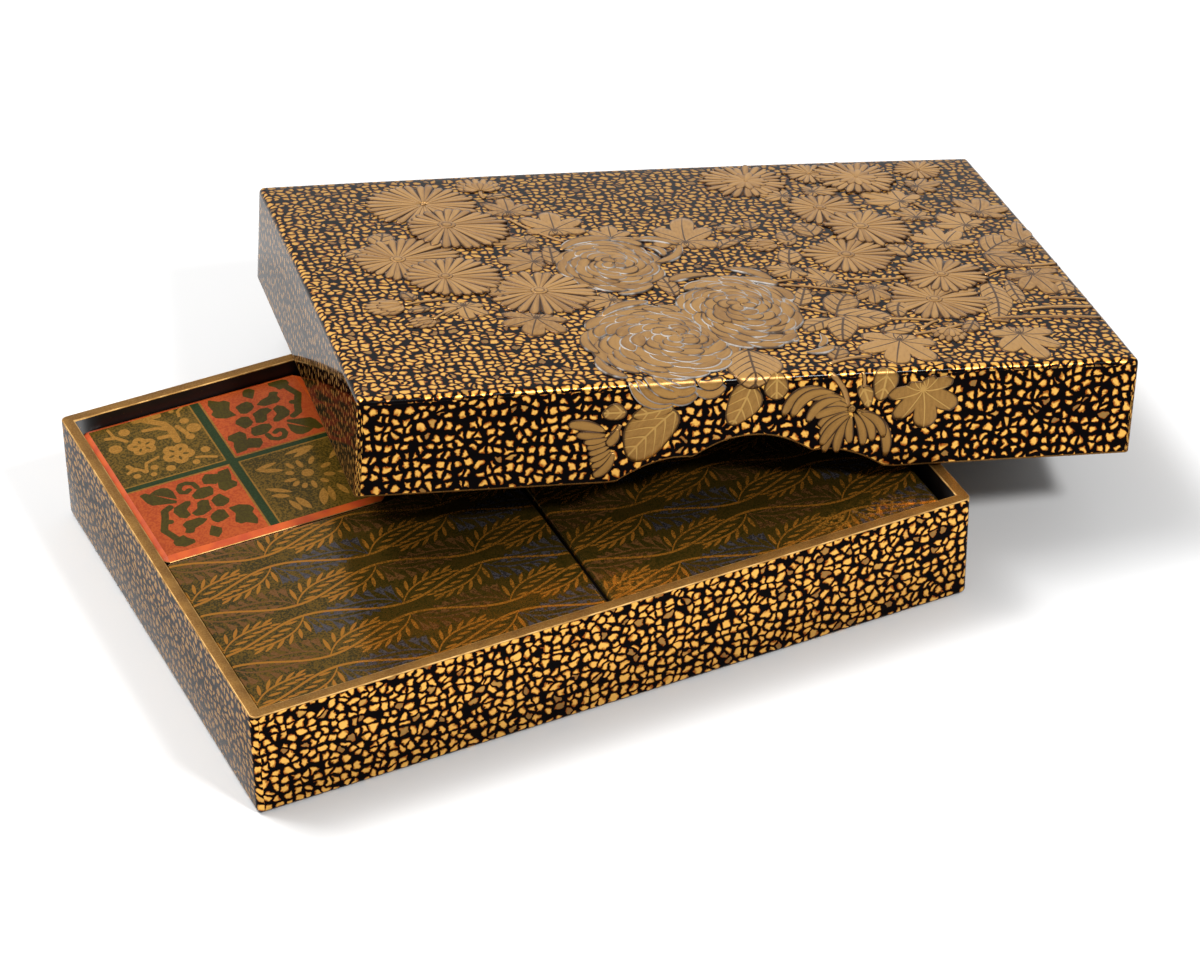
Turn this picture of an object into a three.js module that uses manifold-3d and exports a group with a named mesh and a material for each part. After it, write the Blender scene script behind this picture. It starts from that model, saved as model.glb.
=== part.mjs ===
// Lacquer incense box: a shallow tray with three small lidded boxes in it, and its loose cover, which
// leans over the tray's back and right rims with one corner on the table.
// Millimetres, +Z up. The origin is the middle of the tray's underside, +X runs along the tray to the
// right and -Y points to the front.

import * as THREE from 'three';
import { mergeVertices } from 'three/addons/utils/BufferGeometryUtils.js';
import Module from 'manifold-3d';

// The outer tray
const TRAY = { length: 116.8, width: 80, height: 18.4, wall: 1.8, floor: 1.8, edge: 1 };

// The small boxes: shared thicknesses, and the room each one takes in the tray
const BOX = { wall: 1.8, floor: 1.6, top: 1.6, edge: 0.8, lidHeight: 6, lipHeight: 1.8, play: 0.1 };
const BOX_TOP = TRAY.height - 2;
const SMALL_BOXES = [
  { name: 'red_box', left: -56.1, right: -19.5, front: 1.6, back: 37.9, colour: 0xa8401c },
  { name: 'willow_box_left', left: -56.1, right: -0.4, front: -37.9, back: 1.1, colour: 0x5c4a1e },
  { name: 'willow_box_right', left: 0.1, right: 55.3, front: -37.9, back: 1.1, colour: 0x4a431f },
];

// The cover: its size, its gently crowned top and the way it leans
const COVER = { length: 121.2, width: 84.4, height: 15.7, wall: 1.8, top: 2, edge: 0.9 };
const CROWN = { along: 0.5, across: 0.3 };
const LEAN = { x: 36.7, y: 15.9, tableGap: 0.05, roll: -9.27, pitch: 8.33, yaw: -11.07 };

// The cusped finger cut-out in the middle of both long sides of the cover
const FINGER_CUT = { half: 20.8, dip: 0.2, cusp: 9.3, cuspHeight: 3.3, height: 6.3, steps: 5 };

// The raised work on the cover: the heights of its kinds, the step from one layer to the next, the depth
// it is keyed into the wall, and how far it laps out over the edges of the top
const RELIEF = { ray: 0.6, tier: 0.2, leaf: 0.34, stem: 0.24, layer: 0.16, key: 0.8, lap: 0.3 };
const STEM_WIDTH = 0.9;
const RAYS = 13;
const LEAF_LOBES = 5;
const TIER_TURN = 0.3;

// Ray flowers on the top: heart x, y, reach of the petals, turn in degrees, layer
const RAY_FLOWERS = [
  [-36.5, 29, 9, 0, 0],
  [-33.5, 19.5, 8.8, 8, 1],
  [-44, 7, 7.8, 4, 0],
  [-38.7, -1, 8, 10, 1],
  [-25.5, -8, 8.8, 0, 0],
  [19, 32.5, 7.8, 5, 0],
  [38, 33, 8.2, 0, 1],
  [49.5, 39.5, 6.8, 9, 0],
  [28, 20, 7, 3, 0],
  [32.8, 11.3, 8, 0, 1],
  [26.7, 0.5, 7.8, 7, 0],
  [39.7, -9, 7.6, 2, 1],
  [35.5, -18, 8.4, 6, 0],
];

// Full chrysanthemums on the top: heart x, y, reach, turn in degrees, layer
const FULL_FLOWERS = [
  [-11, 0.5, 10, 0, 0],
  [-11.5, -29, 13, 40, 0],
  [3.5, -19, 11, 20, 1],
];

// Flowers seen from the side on the top: calyx x, y, reach, way they open in degrees
const SIDE_FLOWERS = [
  [-25.5, 33.5, 5.6, 90],
  [-48.5, -10.5, 5, 190],
  [15.5, 6, 4.2, 180],
  [35, -29.5, 4.2, 245],
];

// Lobed leaves on the top: middle x, y, reach to the tip, way the tip points in degrees
const LEAVES = [
  [-18, 19.5, 7.4, 65],
  [-23, 28, 5.4, 35],
  [-25.5, 11.5, 5.2, 175],
  [-9, 13, 4.6, 80],
  [3, 12.5, 8.6, 75],
  [-27, 4, 5.2, 205],
  [2.8, 0, 5.2, 250],
  [-31, -20, 6.8, 240],
  [-39, -13.5, 5.6, 235],
  [-51, 10.8, 3.6, 200],
  [19.5, -5, 6, 110],
  [20.5, -17, 4.8, 60],
  [20.5, -25, 5.8, 340],
  [24, -35, 8.4, 250],
  [44.5, -35, 8.4, 270],
  [45.3, -20, 5.8, 275],
  [55, -13.5, 7.2, 280],
  [27, -15.5, 5.4, 265],
  [53, 0.5, 6.4, 60],
  [43.8, 5, 7, 95],
  [49.5, 12, 6, 150],
  [55.5, 19, 6.6, 60],
  [42.3, 23.3, 6.4, 150],
  [48.5, 28, 5.2, 20],
  [30, 28, 4.6, 170],
  [22.5, 26.2, 4.2, 10],
];

// Stems on the top: from x, y to x, y
const STEMS = [
  [46, -24.5, 61, -23.5],
  [46, -26.5, 61, -28.5],
  [53, -19.5, 61, -20.8],
  [56, -4.5, 61, -5.2],
  [25, -25.5, 33, -30],
  [-43, -9.5, -48, -10],
  [-25.5, 30, -25.5, 34],
  [12, -9.5, 17, -9.5],
];

// The same motifs on the front: x, height above the cover's lower edge, reach, turn in degrees
const FRONT_FULL_FLOWER = [13.2, 8.2, 6.2, 0];
const FRONT_SIDE_FLOWER = [-22.8, 7.6, 5.6, 205];
const FRONT_LEAVES = [
  [-16.5, 9, 5.2, 245],
  [-2.5, 11.5, 3.8, 270],
  [27.5, 10.5, 6, 285],
  [-21.8, 12.2, 1.9, 180],
];

// Points of a finished solid that lie closer than this are one point.
const WELD = 0.004;

const wasm = await Module();
wasm.setup();

// Points closer than the tolerance become one, and the triangles that this closes up are dropped.
function welded(geometry, tolerance) {
  const bare = geometry.clone();
  bare.deleteAttribute('normal');
  bare.deleteAttribute('uv');
  const merged = mergeVertices(bare, tolerance);
  const corners = merged.index.array;
  const kept = [];
  for (let i = 0; i < corners.length; i += 3) {
    const [a, b, c] = corners.slice(i, i + 3);
    if (a !== b && b !== c && c !== a) kept.push(a, b, c);
  }
  return merged.setIndex(kept);
}

// Joins, cuts and trims work on closed solids whose shared points are merged.
function solidOf(geometry) {
  const closed = welded(geometry, 1e-5);
  const vertProperties = new Float32Array(closed.attributes.position.array);
  const triVerts = new Uint32Array(closed.index.array);
  return new wasm.Manifold(new wasm.Mesh({ numProp: 3, vertProperties, triVerts }));
}

function geometryOf(solid) {
  const { vertProperties, triVerts } = solid.getMesh();
  const geometry = new THREE.BufferGeometry();
  geometry.setAttribute('position', new THREE.BufferAttribute(new Float32Array(vertProperties), 3));
  geometry.setIndex(new THREE.BufferAttribute(new Uint32Array(triVerts), 1));
  const whole = welded(geometry, WELD);
  whole.computeVertexNormals();
  return whole;
}

function joined(solids) {
  return solids.reduce((whole, solid) => whole.add(solid));
}

// A plain block from its lowest to its highest corner.
function block(low, high) {
  const size = high.map((value, axis) => value - low[axis]);
  const middle = high.map((value, axis) => (value + low[axis]) / 2);
  return solidOf(new THREE.BoxGeometry(...size).translate(...middle));
}

// A block standing on z = 0 with every edge rounded: the outer rows of a box's points are drawn in to
// quarter rounds, and lift raises the points of its upper half.
function roundedBlock({ length, width, height, radius, rows = 2, spans = [1, 1, 1], lift = () => 0 }) {
  const half = [length / 2, width / 2, height / 2];
  const lines = spans.map((span) => span + 2 * rows);
  const geometry = new THREE.BoxGeometry(2, 2, 2, ...lines);
  const position = geometry.attributes.position;
  const core = new THREE.Vector3();
  const out = new THREE.Vector3();
  for (let i = 0; i < position.count; i += 1) {
    for (let axis = 0; axis < 3; axis += 1) {
      const line = Math.round(((position.getComponent(i, axis) + 1) / 2) * lines[axis]);
      const inRows = Math.max(rows - line, 0) - Math.max(line - lines[axis] + rows, 0);
      const along = THREE.MathUtils.clamp((line - rows) / spans[axis], 0, 1);
      core.setComponent(axis, (2 * along - 1) * (half[axis] - radius));
      out.setComponent(axis, -Math.tan((inRows / rows) * (Math.PI / 4)));
    }
    const point = core.addScaledVector(out.normalize(), radius);
    const raised = point.z > 0 ? lift(point.x, point.y) : 0;
    position.setXYZ(i, point.x, point.y, point.z + half[2] + raised);
  }
  return solidOf(geometry);
}

// A raised motif: a profile turned round the motif's heart, whose reach and crest follow the angle.
// Each station of the profile is a share of the reach and a share of the crest there.
function motif({ segments, stations, heart, reachAt, crestAt }) {
  const keyed = [[0, -1], [1, -1], ...stations, [0, 1]];
  const geometry = new THREE.LatheGeometry(keyed.map((station) => new THREE.Vector2(...station)), segments);
  const position = geometry.attributes.position;
  for (let i = 0; i < position.count; i += 1) {
    const spoke = Math.floor(i / keyed.length) % segments;
    const [share, level] = keyed[i % keyed.length];
    const angle = (spoke / segments) * 2 * Math.PI;
    const reach = share * reachAt(angle, spoke);
    const crest = share > 0 ? crestAt(spoke) : heart;
    const height = level < 0 ? -RELIEF.key : level * crest;
    position.setXYZ(i, reach * Math.cos(angle), reach * Math.sin(angle), height);
  }
  return geometry;
}

// A daisy-like flower: ridged rays with notches between their tips, and a raised heart.
function rayFlower(reach, layer) {
  const crest = RELIEF.ray + layer * RELIEF.layer;
  const isRidge = (spoke) => spoke % 2 === 1;
  return motif({
    segments: 2 * RAYS,
    stations: [[1, 0.9], [0.2, 0.85]],
    heart: crest,
    reachAt: (angle, spoke) => reach * (isRidge(spoke) ? 1 : 0.87),
    crestAt: (spoke) => crest * (isRidge(spoke) ? 1 : 0.63),
  });
}

// A full chrysanthemum: tiers of round-tipped petals, each smaller and higher than the one under it.
function fullFlower(reach, layer) {
  const tiers = [
    { petals: 11, share: 1 },
    { petals: 9, share: 0.72 },
    { petals: 6, share: 0.42 },
  ];
  return tiers.map(({ petals, share }, level) => {
    const crest = RELIEF.leaf + (level + 0.5) * RELIEF.tier + layer * RELIEF.layer;
    const tier = motif({
      segments: 3 * petals,
      stations: [[1, 0.9]],
      heart: crest,
      reachAt: (angle, spoke) => reach * share * (spoke % 3 === 0 ? 0.84 : 1),
      crestAt: () => crest,
    });
    return tier.rotateZ(level * TIER_TURN);
  });
}

// A flower seen from the side: rays over a little less than half a turn, and a small round calyx.
function sideFlower(reach) {
  const halfTurnRays = 7;
  const isRidge = (spoke) => spoke % 2 === 1;
  const opens = (angle) => Math.cos(angle) > -0.05;
  return motif({
    segments: 4 * halfTurnRays,
    stations: [[1, 0.9]],
    heart: RELIEF.ray,
    reachAt: (angle, spoke) => reach * (opens(angle) ? (isRidge(spoke) ? 1 : 0.82) : 0.25),
    crestAt: (spoke) => RELIEF.ray * (isRidge(spoke) ? 1 : 0.63),
  });
}

// A lobed leaf: lobes round a middle that rises to the crossing of the veins, the tip lobe longest.
function lobedLeaf(reach) {
  const lobeAt = (angle) => Math.cos(LEAF_LOBES * angle);
  return motif({
    segments: 3 * LEAF_LOBES,
    stations: [[1, 0.8]],
    heart: RELIEF.leaf,
    reachAt: (angle) => reach * (0.58 + 0.22 * Math.cos(angle)) * (1 + 0.25 * lobeAt(angle)),
    crestAt: () => RELIEF.leaf,
  });
}

function stem(fromX, fromY, toX, toY) {
  const run = new THREE.Vector2(toX - fromX, toY - fromY);
  const geometry = new THREE.BoxGeometry(run.length(), STEM_WIDTH, RELIEF.key + RELIEF.stem);
  geometry.translate(0, 0, (RELIEF.stem - RELIEF.key) / 2);
  geometry.rotateZ(run.angle());
  return geometry.translate((fromX + toX) / 2, (fromY + toY) / 2, 0);
}

function crownAt(x, y) {
  const along = 1 - (x / (COVER.length / 2)) ** 2;
  const across = 1 - (y / (COVER.width / 2)) ** 2;
  return CROWN.along * along + CROWN.across * across;
}

// A motif laid on the crowned top, its heights measured from the surface under each point.
function onTop(geometry) {
  const position = geometry.attributes.position;
  for (let i = 0; i < position.count; i += 1) {
    const ground = COVER.height + crownAt(position.getX(i), position.getY(i));
    position.setZ(i, position.getZ(i) + ground);
  }
  return solidOf(geometry);
}

function turned(geometry, x, y, degrees) {
  return geometry.rotateZ(THREE.MathUtils.degToRad(degrees)).translate(x, y, 0);
}

// A motif stood up on the front wall, its x along the wall and its y up it.
function onFront(geometry) {
  return solidOf(geometry.rotateX(Math.PI / 2).translate(0, -COVER.width / 2, 0));
}

// Everything raised on the top, cut off where it laps out over the edges.
function topRelief() {
  const motifs = [
    ...STEMS.map((run) => stem(...run)),
    ...LEAVES.map(([x, y, reach, turn]) => turned(lobedLeaf(reach), x, y, turn)),
    ...SIDE_FLOWERS.map(([x, y, reach, turn]) => turned(sideFlower(reach), x, y, turn)),
    ...RAY_FLOWERS.map(([x, y, reach, turn, layer]) => turned(rayFlower(reach, layer), x, y, turn)),
    ...FULL_FLOWERS.flatMap(([x, y, reach, turn, layer]) => (
      fullFlower(reach, layer).map((tier) => turned(tier, x, y, turn)))),
  ];
  const lapped = roundedBlock({
    length: COVER.length + 2 * RELIEF.lap,
    width: COVER.width + 2 * RELIEF.lap,
    height: 3 * COVER.height,
    radius: COVER.edge + RELIEF.lap,
  });
  return motifs.map((motifOnTop) => onTop(motifOnTop).intersect(lapped));
}

function frontRelief() {
  const [flowerX, flowerZ, flowerReach, flowerTurn] = FRONT_FULL_FLOWER;
  const [budX, budZ, budReach, budTurn] = FRONT_SIDE_FLOWER;
  const motifs = [
    ...FRONT_LEAVES.map(([x, z, reach, turn]) => turned(lobedLeaf(reach), x, z, turn)),
    turned(sideFlower(budReach), budX, budZ, budTurn),
    ...fullFlower(flowerReach, 0).map((tier) => turned(tier, flowerX, flowerZ, flowerTurn)),
  ];
  return motifs.map(onFront);
}

// The opening that the fingers go in by: two shallow shoulders that meet a raised arch at a cusp.
function fingerCut() {
  const { half, dip, cusp, cuspHeight, height, steps } = FINGER_CUT;
  const pull = (half - cusp) / 3;
  const [rise, swell, spring] = [0.75 * cuspHeight, cuspHeight + 0.5, cuspHeight + 1.2];
  const outline = new THREE.Shape();
  outline.moveTo(-half, -dip);
  outline.bezierCurveTo(pull - half, rise, -cusp - pull, swell, -cusp, cuspHeight);
  outline.bezierCurveTo(-0.75 * cusp, spring, -0.5 * cusp, height, 0, height);
  outline.bezierCurveTo(0.5 * cusp, height, 0.75 * cusp, spring, cusp, cuspHeight);
  outline.bezierCurveTo(cusp + pull, swell, half - pull, rise, half, -dip);
  const depth = COVER.width + 2 * COVER.wall;
  const geometry = new THREE.ExtrudeGeometry(outline, { depth, bevelEnabled: false, curveSegments: steps });
  return solidOf(geometry.translate(0, 0, -depth / 2).rotateX(Math.PI / 2));
}

function coverShell() {
  const { length, width, height, wall, top, edge } = COVER;
  const outside = roundedBlock({
    length, width, height: 2 * height, radius: edge, spans: [4, 3, 1], lift: crownAt,
  }).translate(0, 0, -height);
  const below = block([-length, -width, -2 * height], [length, width, 0]);
  const hollow = roundedBlock({
    length: length - 2 * wall, width: width - 2 * wall, height: 2 * (height - top), radius: edge, rows: 1,
  }).translate(0, 0, top - height);
  const carved = joined([outside, ...topRelief(), ...frontRelief()]);
  return carved.subtract(below).subtract(hollow).subtract(fingerCut());
}

function trayShell() {
  const { length, width, height, wall, floor, edge } = TRAY;
  const outside = roundedBlock({ length, width, height: 2 * height, radius: edge });
  const above = block([-length, -width, height], [length, width, 3 * height]);
  const [reach, depth] = [length / 2 - wall, width / 2 - wall];
  const hollow = block([-reach, -depth, floor], [reach, depth, 2 * height]);
  return outside.subtract(above).subtract(hollow);
}

// A small box's body: full walls up to the lid, then a thinner lip that the lid slips over.
function boxBody({ left, right, front, back }) {
  const { wall, floor, lidHeight, lipHeight, play } = BOX;
  const bottom = TRAY.floor + play;
  const shoulder = BOX_TOP - lidHeight;
  const lip = (wall + play) / 2;
  const outside = block([left, front, bottom], [right, back, shoulder]);
  const lipTop = shoulder + lipHeight;
  const neck = block([left + lip, front + lip, bottom + floor], [right - lip, back - lip, lipTop]);
  const hollow = block([left + wall, front + wall, bottom + floor], [right - wall, back - wall, BOX_TOP]);
  return outside.add(neck).subtract(hollow);
}

// A small box's lid: a cap with softened edges, flush with the body's sides.
function boxLid({ left, right, front, back }) {
  const { wall, top, edge, lidHeight, play } = BOX;
  const skirt = (wall - play) / 2;
  const seat = BOX_TOP - lidHeight + play;
  const capHeight = BOX_TOP - seat;
  const outside = roundedBlock({
    length: right - left, width: back - front, height: 2 * capHeight, radius: edge,
  }).translate((left + right) / 2, (front + back) / 2, seat - capHeight);
  const below = block([left - 1, front - 1, -BOX_TOP], [right + 1, back + 1, seat]);
  const hollow = block([left + skirt, front + skirt, 0], [right - skirt, back - skirt, BOX_TOP - top]);
  return outside.subtract(below).subtract(hollow);
}

function piece(name, solid, colour, roughness, metalness) {
  const material = new THREE.MeshStandardMaterial({ color: colour, roughness, metalness });
  const mesh = new THREE.Mesh(geometryOf(solid), material);
  mesh.name = name;
  return mesh;
}

const incenseBox = new THREE.Group();
incenseBox.add(piece('base_tray', trayShell(), 0x8a6a2c, 0.3, 0.4));
for (const box of SMALL_BOXES) {
  incenseBox.add(piece(`${box.name}_body`, boxBody(box), 0x15110e, 0.35, 0));
  incenseBox.add(piece(`${box.name}_lid`, boxLid(box), box.colour, 0.4, 0.2));
}

// The cover's lowest corner, found from its lean, stands on the table.
const leaning = new THREE.Group();
const [roll, pitch, yaw] = [LEAN.roll, LEAN.pitch, LEAN.yaw].map(THREE.MathUtils.degToRad);
leaning.rotation.set(roll, pitch, yaw, 'XYZ');
const corners = [[-1, -1], [-1, 1], [1, -1], [1, 1]].map(([end, side]) => (
  new THREE.Vector3(end * COVER.length / 2, side * COVER.width / 2, 0).applyEuler(leaning.rotation)));
const lowest = Math.min(...corners.map((corner) => corner.z));
leaning.position.set(LEAN.x, LEAN.y, LEAN.tableGap - lowest);
leaning.add(piece('cover', coverShell(), 0xa07a3c, 0.35, 0.5));
incenseBox.add(leaning);

export default incenseBox;
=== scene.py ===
import bpy
import numpy as np
from mathutils import Matrix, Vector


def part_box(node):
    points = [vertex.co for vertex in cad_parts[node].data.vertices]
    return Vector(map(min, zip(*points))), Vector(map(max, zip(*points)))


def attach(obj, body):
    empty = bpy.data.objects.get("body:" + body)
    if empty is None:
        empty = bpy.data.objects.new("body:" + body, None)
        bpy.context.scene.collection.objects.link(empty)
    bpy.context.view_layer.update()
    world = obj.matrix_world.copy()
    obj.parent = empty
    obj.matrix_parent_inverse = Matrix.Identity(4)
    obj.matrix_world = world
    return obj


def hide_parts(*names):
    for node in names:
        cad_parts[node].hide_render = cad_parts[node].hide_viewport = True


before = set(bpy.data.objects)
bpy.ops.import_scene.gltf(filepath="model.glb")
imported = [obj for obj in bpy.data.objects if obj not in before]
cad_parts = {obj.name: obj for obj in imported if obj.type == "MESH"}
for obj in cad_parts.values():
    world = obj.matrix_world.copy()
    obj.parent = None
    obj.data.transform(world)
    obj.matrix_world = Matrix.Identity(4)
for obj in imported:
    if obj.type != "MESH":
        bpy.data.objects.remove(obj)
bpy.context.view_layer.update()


# The tray: the shallow lower half of the box, thin wood under many coats of lacquer. Its outside is set
# with gold flakes one by one and polished flush, its rim is dusted with matt gold, its inside is dark.
MM = 0.001
TRAY_LENGTH, TRAY_WIDTH, TRAY_HEIGHT = 116.8 * MM, 80.0 * MM, 18.4 * MM
TRAY_WALL, TRAY_FLOOR, TRAY_CORNER = 1.8 * MM, 1.8 * MM, 1.0 * MM
RIM_EDGE, INNER_CORNER = 0.18 * MM, 0.5 * MM
WALL_TOP = 8
BLACK_LACQUER = (0.0020, 0.0011, 0.0012, 1.0)
FLAKE_BRIGHT = (0.88, 0.485, 0.10, 1.0)
FLAKE_DEEP = (0.47, 0.20, 0.033, 1.0)
FLAKE_DULL = (0.30, 0.16, 0.045, 1.0)
FLAKE_AMBER = (0.30, 0.065, 0.007, 1.0)
FLAKE_TEAR = 2.0 * MM
COAT_SMOKE = (0.48, 0.45, 0.42, 1.0)
RIM_GOLD = (0.30, 0.155, 0.040, 1.0)
RIM_WORN_AND_HIGHLIGHT = (0.52, 0.31, 0.105, 1.0)
RIM_DUSK, RIM_DUST = (0.130, 0.056, 0.0085, 1.0), (0.200, 0.095, 0.017, 1.0)
DUSTED_GROUND, DUSTED_GRAIN = (0.004, 0.0024, 0.002, 1.0), (0.26, 0.12, 0.025, 1.0)


def link(tree, source, target):
    """Join one socket to another, or set the target's own value where the source is a plain value."""
    if isinstance(source, bpy.types.NodeSocket):
        tree.links.new(source, target)
    else:
        target.default_value = source


def node(tree, kind, inputs=None, **settings):
    """Add a node of this kind, set its options, and feed its named inputs from sockets or values."""
    made = tree.nodes.new(kind)
    for name, value in settings.items():
        setattr(made, name, value)
    for name, value in (inputs or {}).items():
        link(tree, value, made.inputs[name])
    return made


def calc(tree, operation, *values):
    """One step of arithmetic on up to three sockets or numbers."""
    made = node(tree, "ShaderNodeMath", operation=operation)
    for i, value in enumerate(values):
        link(tree, value, made.inputs[i])
    return made.outputs[0]


def ramp(tree, value, low, high, to_low=0.0, to_high=1.0):
    """A smooth step: to_low below low, to_high above high."""
    feeds = {"Value": value, "From Min": low, "From Max": high, "To Min": to_low, "To Max": to_high}
    return node(tree, "ShaderNodeMapRange", feeds, interpolation_type="SMOOTHSTEP").outputs[0]


def blend_colour(tree, share, first, second):
    """The first colour where share is 0, the second where it is 1."""
    made = node(tree, "ShaderNodeMix", data_type="RGBA")
    link(tree, share, made.inputs[0])
    link(tree, first, made.inputs[6])
    link(tree, second, made.inputs[7])
    return made.outputs[2]


def vector(tree, operation, first, second):
    """One step of arithmetic on two vectors, giving a vector, or a number for their dot product."""
    made = node(tree, "ShaderNodeVectorMath", {0: first, 1: second}, operation=operation)
    return made.outputs["Value" if operation == "DOT_PRODUCT" else "Vector"]


def place_on(tree, kind="Object"):
    """Where a point lies: along the object's own axes, or on its unfolded surface."""
    return node(tree, "ShaderNodeTexCoord").outputs[kind]


def add_bump(tree, shader, height, distance, strength):
    """Fine relief seen by the light only, its full height given as a distance in metres."""
    feeds = {"Height": height, "Distance": distance, "Strength": strength}
    link(tree, node(tree, "ShaderNodeBump", feeds).outputs[0], shader["Normal"])


def speckle(tree, place, scale, detail=2.0):
    """Soft noise of the given scale per metre, from 0 to 1."""
    feeds = {"Vector": place, "Scale": scale, "Detail": detail}
    return node(tree, "ShaderNodeTexNoise", feeds).outputs["Fac"]


def group_of(name, inputs, outputs):
    """A node group with named sockets, and its tree's two ends."""
    tree = bpy.data.node_groups.new(name, "ShaderNodeTree")
    for socket, kind in inputs:
        tree.interface.new_socket(socket, in_out="INPUT", socket_type=kind)
    for socket, kind in outputs:
        tree.interface.new_socket(socket, in_out="OUTPUT", socket_type=kind)
    return tree, tree.nodes.new("NodeGroupInput").outputs, tree.nodes.new("NodeGroupOutput").inputs


def make_flake_ground():
    """Gold flakes in dark lacquer: one in each cell of a scatter, broken off along a line of its own.

    Its edge is torn by noise. Towards the edge and the broken side the lacquer over the gold is amber.
    """
    tree, given, made = group_of(
        "flake_ground",
        [("Place", "NodeSocketVector"), ("Per metre", "NodeSocketFloat"), ("Gap", "NodeSocketFloat")],
        [("Color", "NodeSocketColor"), ("Gold", "NodeSocketFloat"), ("Roughness", "NodeSocketFloat")],
    )
    pull = node(tree, "ShaderNodeTexNoise", {"Vector": given["Place"], "Scale": 450.0, "Detail": 2.0})
    pull = vector(tree, "SUBTRACT", pull.outputs["Color"], (0.5, 0.5, 0.5))
    pull = vector(tree, "MULTIPLY", pull, (FLAKE_TEAR, FLAKE_TEAR, FLAKE_TEAR))
    place = vector(tree, "ADD", given["Place"], pull)
    scatter = {"Vector": place, "Scale": given["Per metre"], "Randomness": 0.70}
    cell = node(tree, "ShaderNodeTexVoronoi", scatter, voronoi_dimensions="2D")
    edge = node(tree, "ShaderNodeTexVoronoi", scatter, voronoi_dimensions="2D",
                feature="DISTANCE_TO_EDGE")
    draw = node(tree, "ShaderNodeSeparateColor", {"Color": cell.outputs["Color"]}).outputs
    away = vector(tree, "SUBTRACT", place, cell.outputs["Position"])
    turn = calc(tree, "MULTIPLY", draw["Blue"], 6.283)
    facing = {"X": calc(tree, "COSINE", turn), "Y": calc(tree, "SINE", turn)}
    facing = node(tree, "ShaderNodeCombineXYZ", facing).outputs[0]
    out = calc(tree, "MULTIPLY", vector(tree, "DOT_PRODUCT", away, facing), given["Per metre"])
    broken = calc(tree, "MULTIPLY_ADD", given["Gap"], -0.9, 0.40)
    broken = calc(tree, "SUBTRACT", calc(tree, "MULTIPLY_ADD", draw["Green"], 0.2, broken), out)
    torn = calc(tree, "MULTIPLY_ADD", speckle(tree, place, 2600.0, 2.0), 0.22, -0.11)
    size = calc(tree, "MULTIPLY_ADD", draw["Red"], 0.06, given["Gap"])
    within = calc(tree, "SUBTRACT", edge.outputs["Distance"], size)
    rounded = calc(tree, "MULTIPLY_ADD", given["Gap"], -0.6, 0.43)
    rounded = calc(tree, "MULTIPLY_ADD", cell.outputs["Distance"], -0.75, rounded)
    inside = calc(tree, "SMOOTH_MIN", calc(tree, "SMOOTH_MIN", within, rounded, 0.12), broken, 0.08)
    inside = calc(tree, "ADD", inside, torn)
    gold = ramp(tree, inside, 0.0, 0.04)
    bright = calc(tree, "MULTIPLY_ADD", speckle(tree, place, 4200.0), 1.1, -0.5)
    bright = calc(tree, "ADD", bright, ramp(tree, inside, 0.02, 0.16))
    tone = blend_colour(tree, ramp(tree, bright, 0.1, 1.0), FLAKE_DEEP, FLAKE_BRIGHT)
    tone = blend_colour(tree, ramp(tree, draw["Green"], 0.9, 0.98), tone, FLAKE_DULL)
    side = calc(tree, "MAXIMUM", ramp(tree, inside, 0.11, 0.01), ramp(tree, broken, 0.30, 0.04))
    stain = calc(tree, "MULTIPLY", side, ramp(tree, speckle(tree, place, 1500.0), 0.36, 0.50))
    tone = blend_colour(tree, stain, tone, FLAKE_AMBER)
    link(tree, blend_colour(tree, gold, BLACK_LACQUER, tone), made["Color"])
    link(tree, gold, made["Gold"])
    link(tree, calc(tree, "MULTIPLY_ADD", gold, 0.17, 0.15), made["Roughness"])
    return tree


def new_material(name, **values):
    """A material with one Principled shader, whose plain values are set on its own sockets."""
    material = bpy.data.materials.new(name)
    material.use_nodes = True
    shader = material.node_tree.nodes["Principled BSDF"]
    for socket, value in values.items():
        shader.inputs[socket.replace("_", " ")].default_value = value
    return material, material.node_tree, shader.inputs


def make_flake_lacquer(name, per_metre, gap, gloss=1.08):
    """Lacquer with gold flakes, laid out on the piece's unfolded surface."""
    material, tree, shader = new_material(name, IOR=gloss, Coat_IOR=1.15, Coat_Roughness=0.07,
                                          Coat_Tint=COAT_SMOKE)
    slant = node(tree, "ShaderNodeLayerWeight").outputs["Facing"]
    link(tree, ramp(tree, slant, 0.56, 0.70, 0.0, 0.8), shader["Coat Weight"])
    feeds = {"Place": place_on(tree, "UV"), "Per metre": per_metre, "Gap": gap}
    ground = node(tree, "ShaderNodeGroup", feeds, node_tree=flake_ground).outputs
    link(tree, ground["Color"], shader["Base Color"])
    link(tree, calc(tree, "MULTIPLY", ground["Gold"], 0.72), shader["Metallic"])
    link(tree, ground["Roughness"], shader["Roughness"])
    return material


def make_matt_gold(name):
    """Rim gold: powder gold with cloudy, finely grained tone."""
    material, tree, shader = new_material(name, Metallic=0.8, Roughness=0.48)
    place = place_on(tree)
    cloud = ramp(tree, speckle(tree, place, 260.0, 4.0), 0.3, 0.75)
    grain = ramp(tree, speckle(tree, place, 5200.0, 1.0), 0.35, 0.7)
    tone = blend_colour(tree, cloud, RIM_DUSK, RIM_DUST)
    tone = blend_colour(tree, calc(tree, "MULTIPLY", grain, 0.16), tone, RIM_WORN_AND_HIGHLIGHT)
    link(tree, tone, shader["Base Color"])
    add_bump(tree, shader, grain, 0.02 * MM, 0.3)
    return material


def make_worn_and_highlight_gold(name):
    """The line of bright gold where handling has rubbed an edge, and at the red lid's foot a painted
    highlight.
    """
    material, tree, shader = new_material(name, Metallic=0.8, Roughness=0.5)
    rub = ramp(tree, speckle(tree, place_on(tree), 420.0, 4.0), 0.38, 0.62)
    link(tree, blend_colour(tree, rub, RIM_GOLD, RIM_WORN_AND_HIGHLIGHT), shader["Base Color"])
    return material


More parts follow.
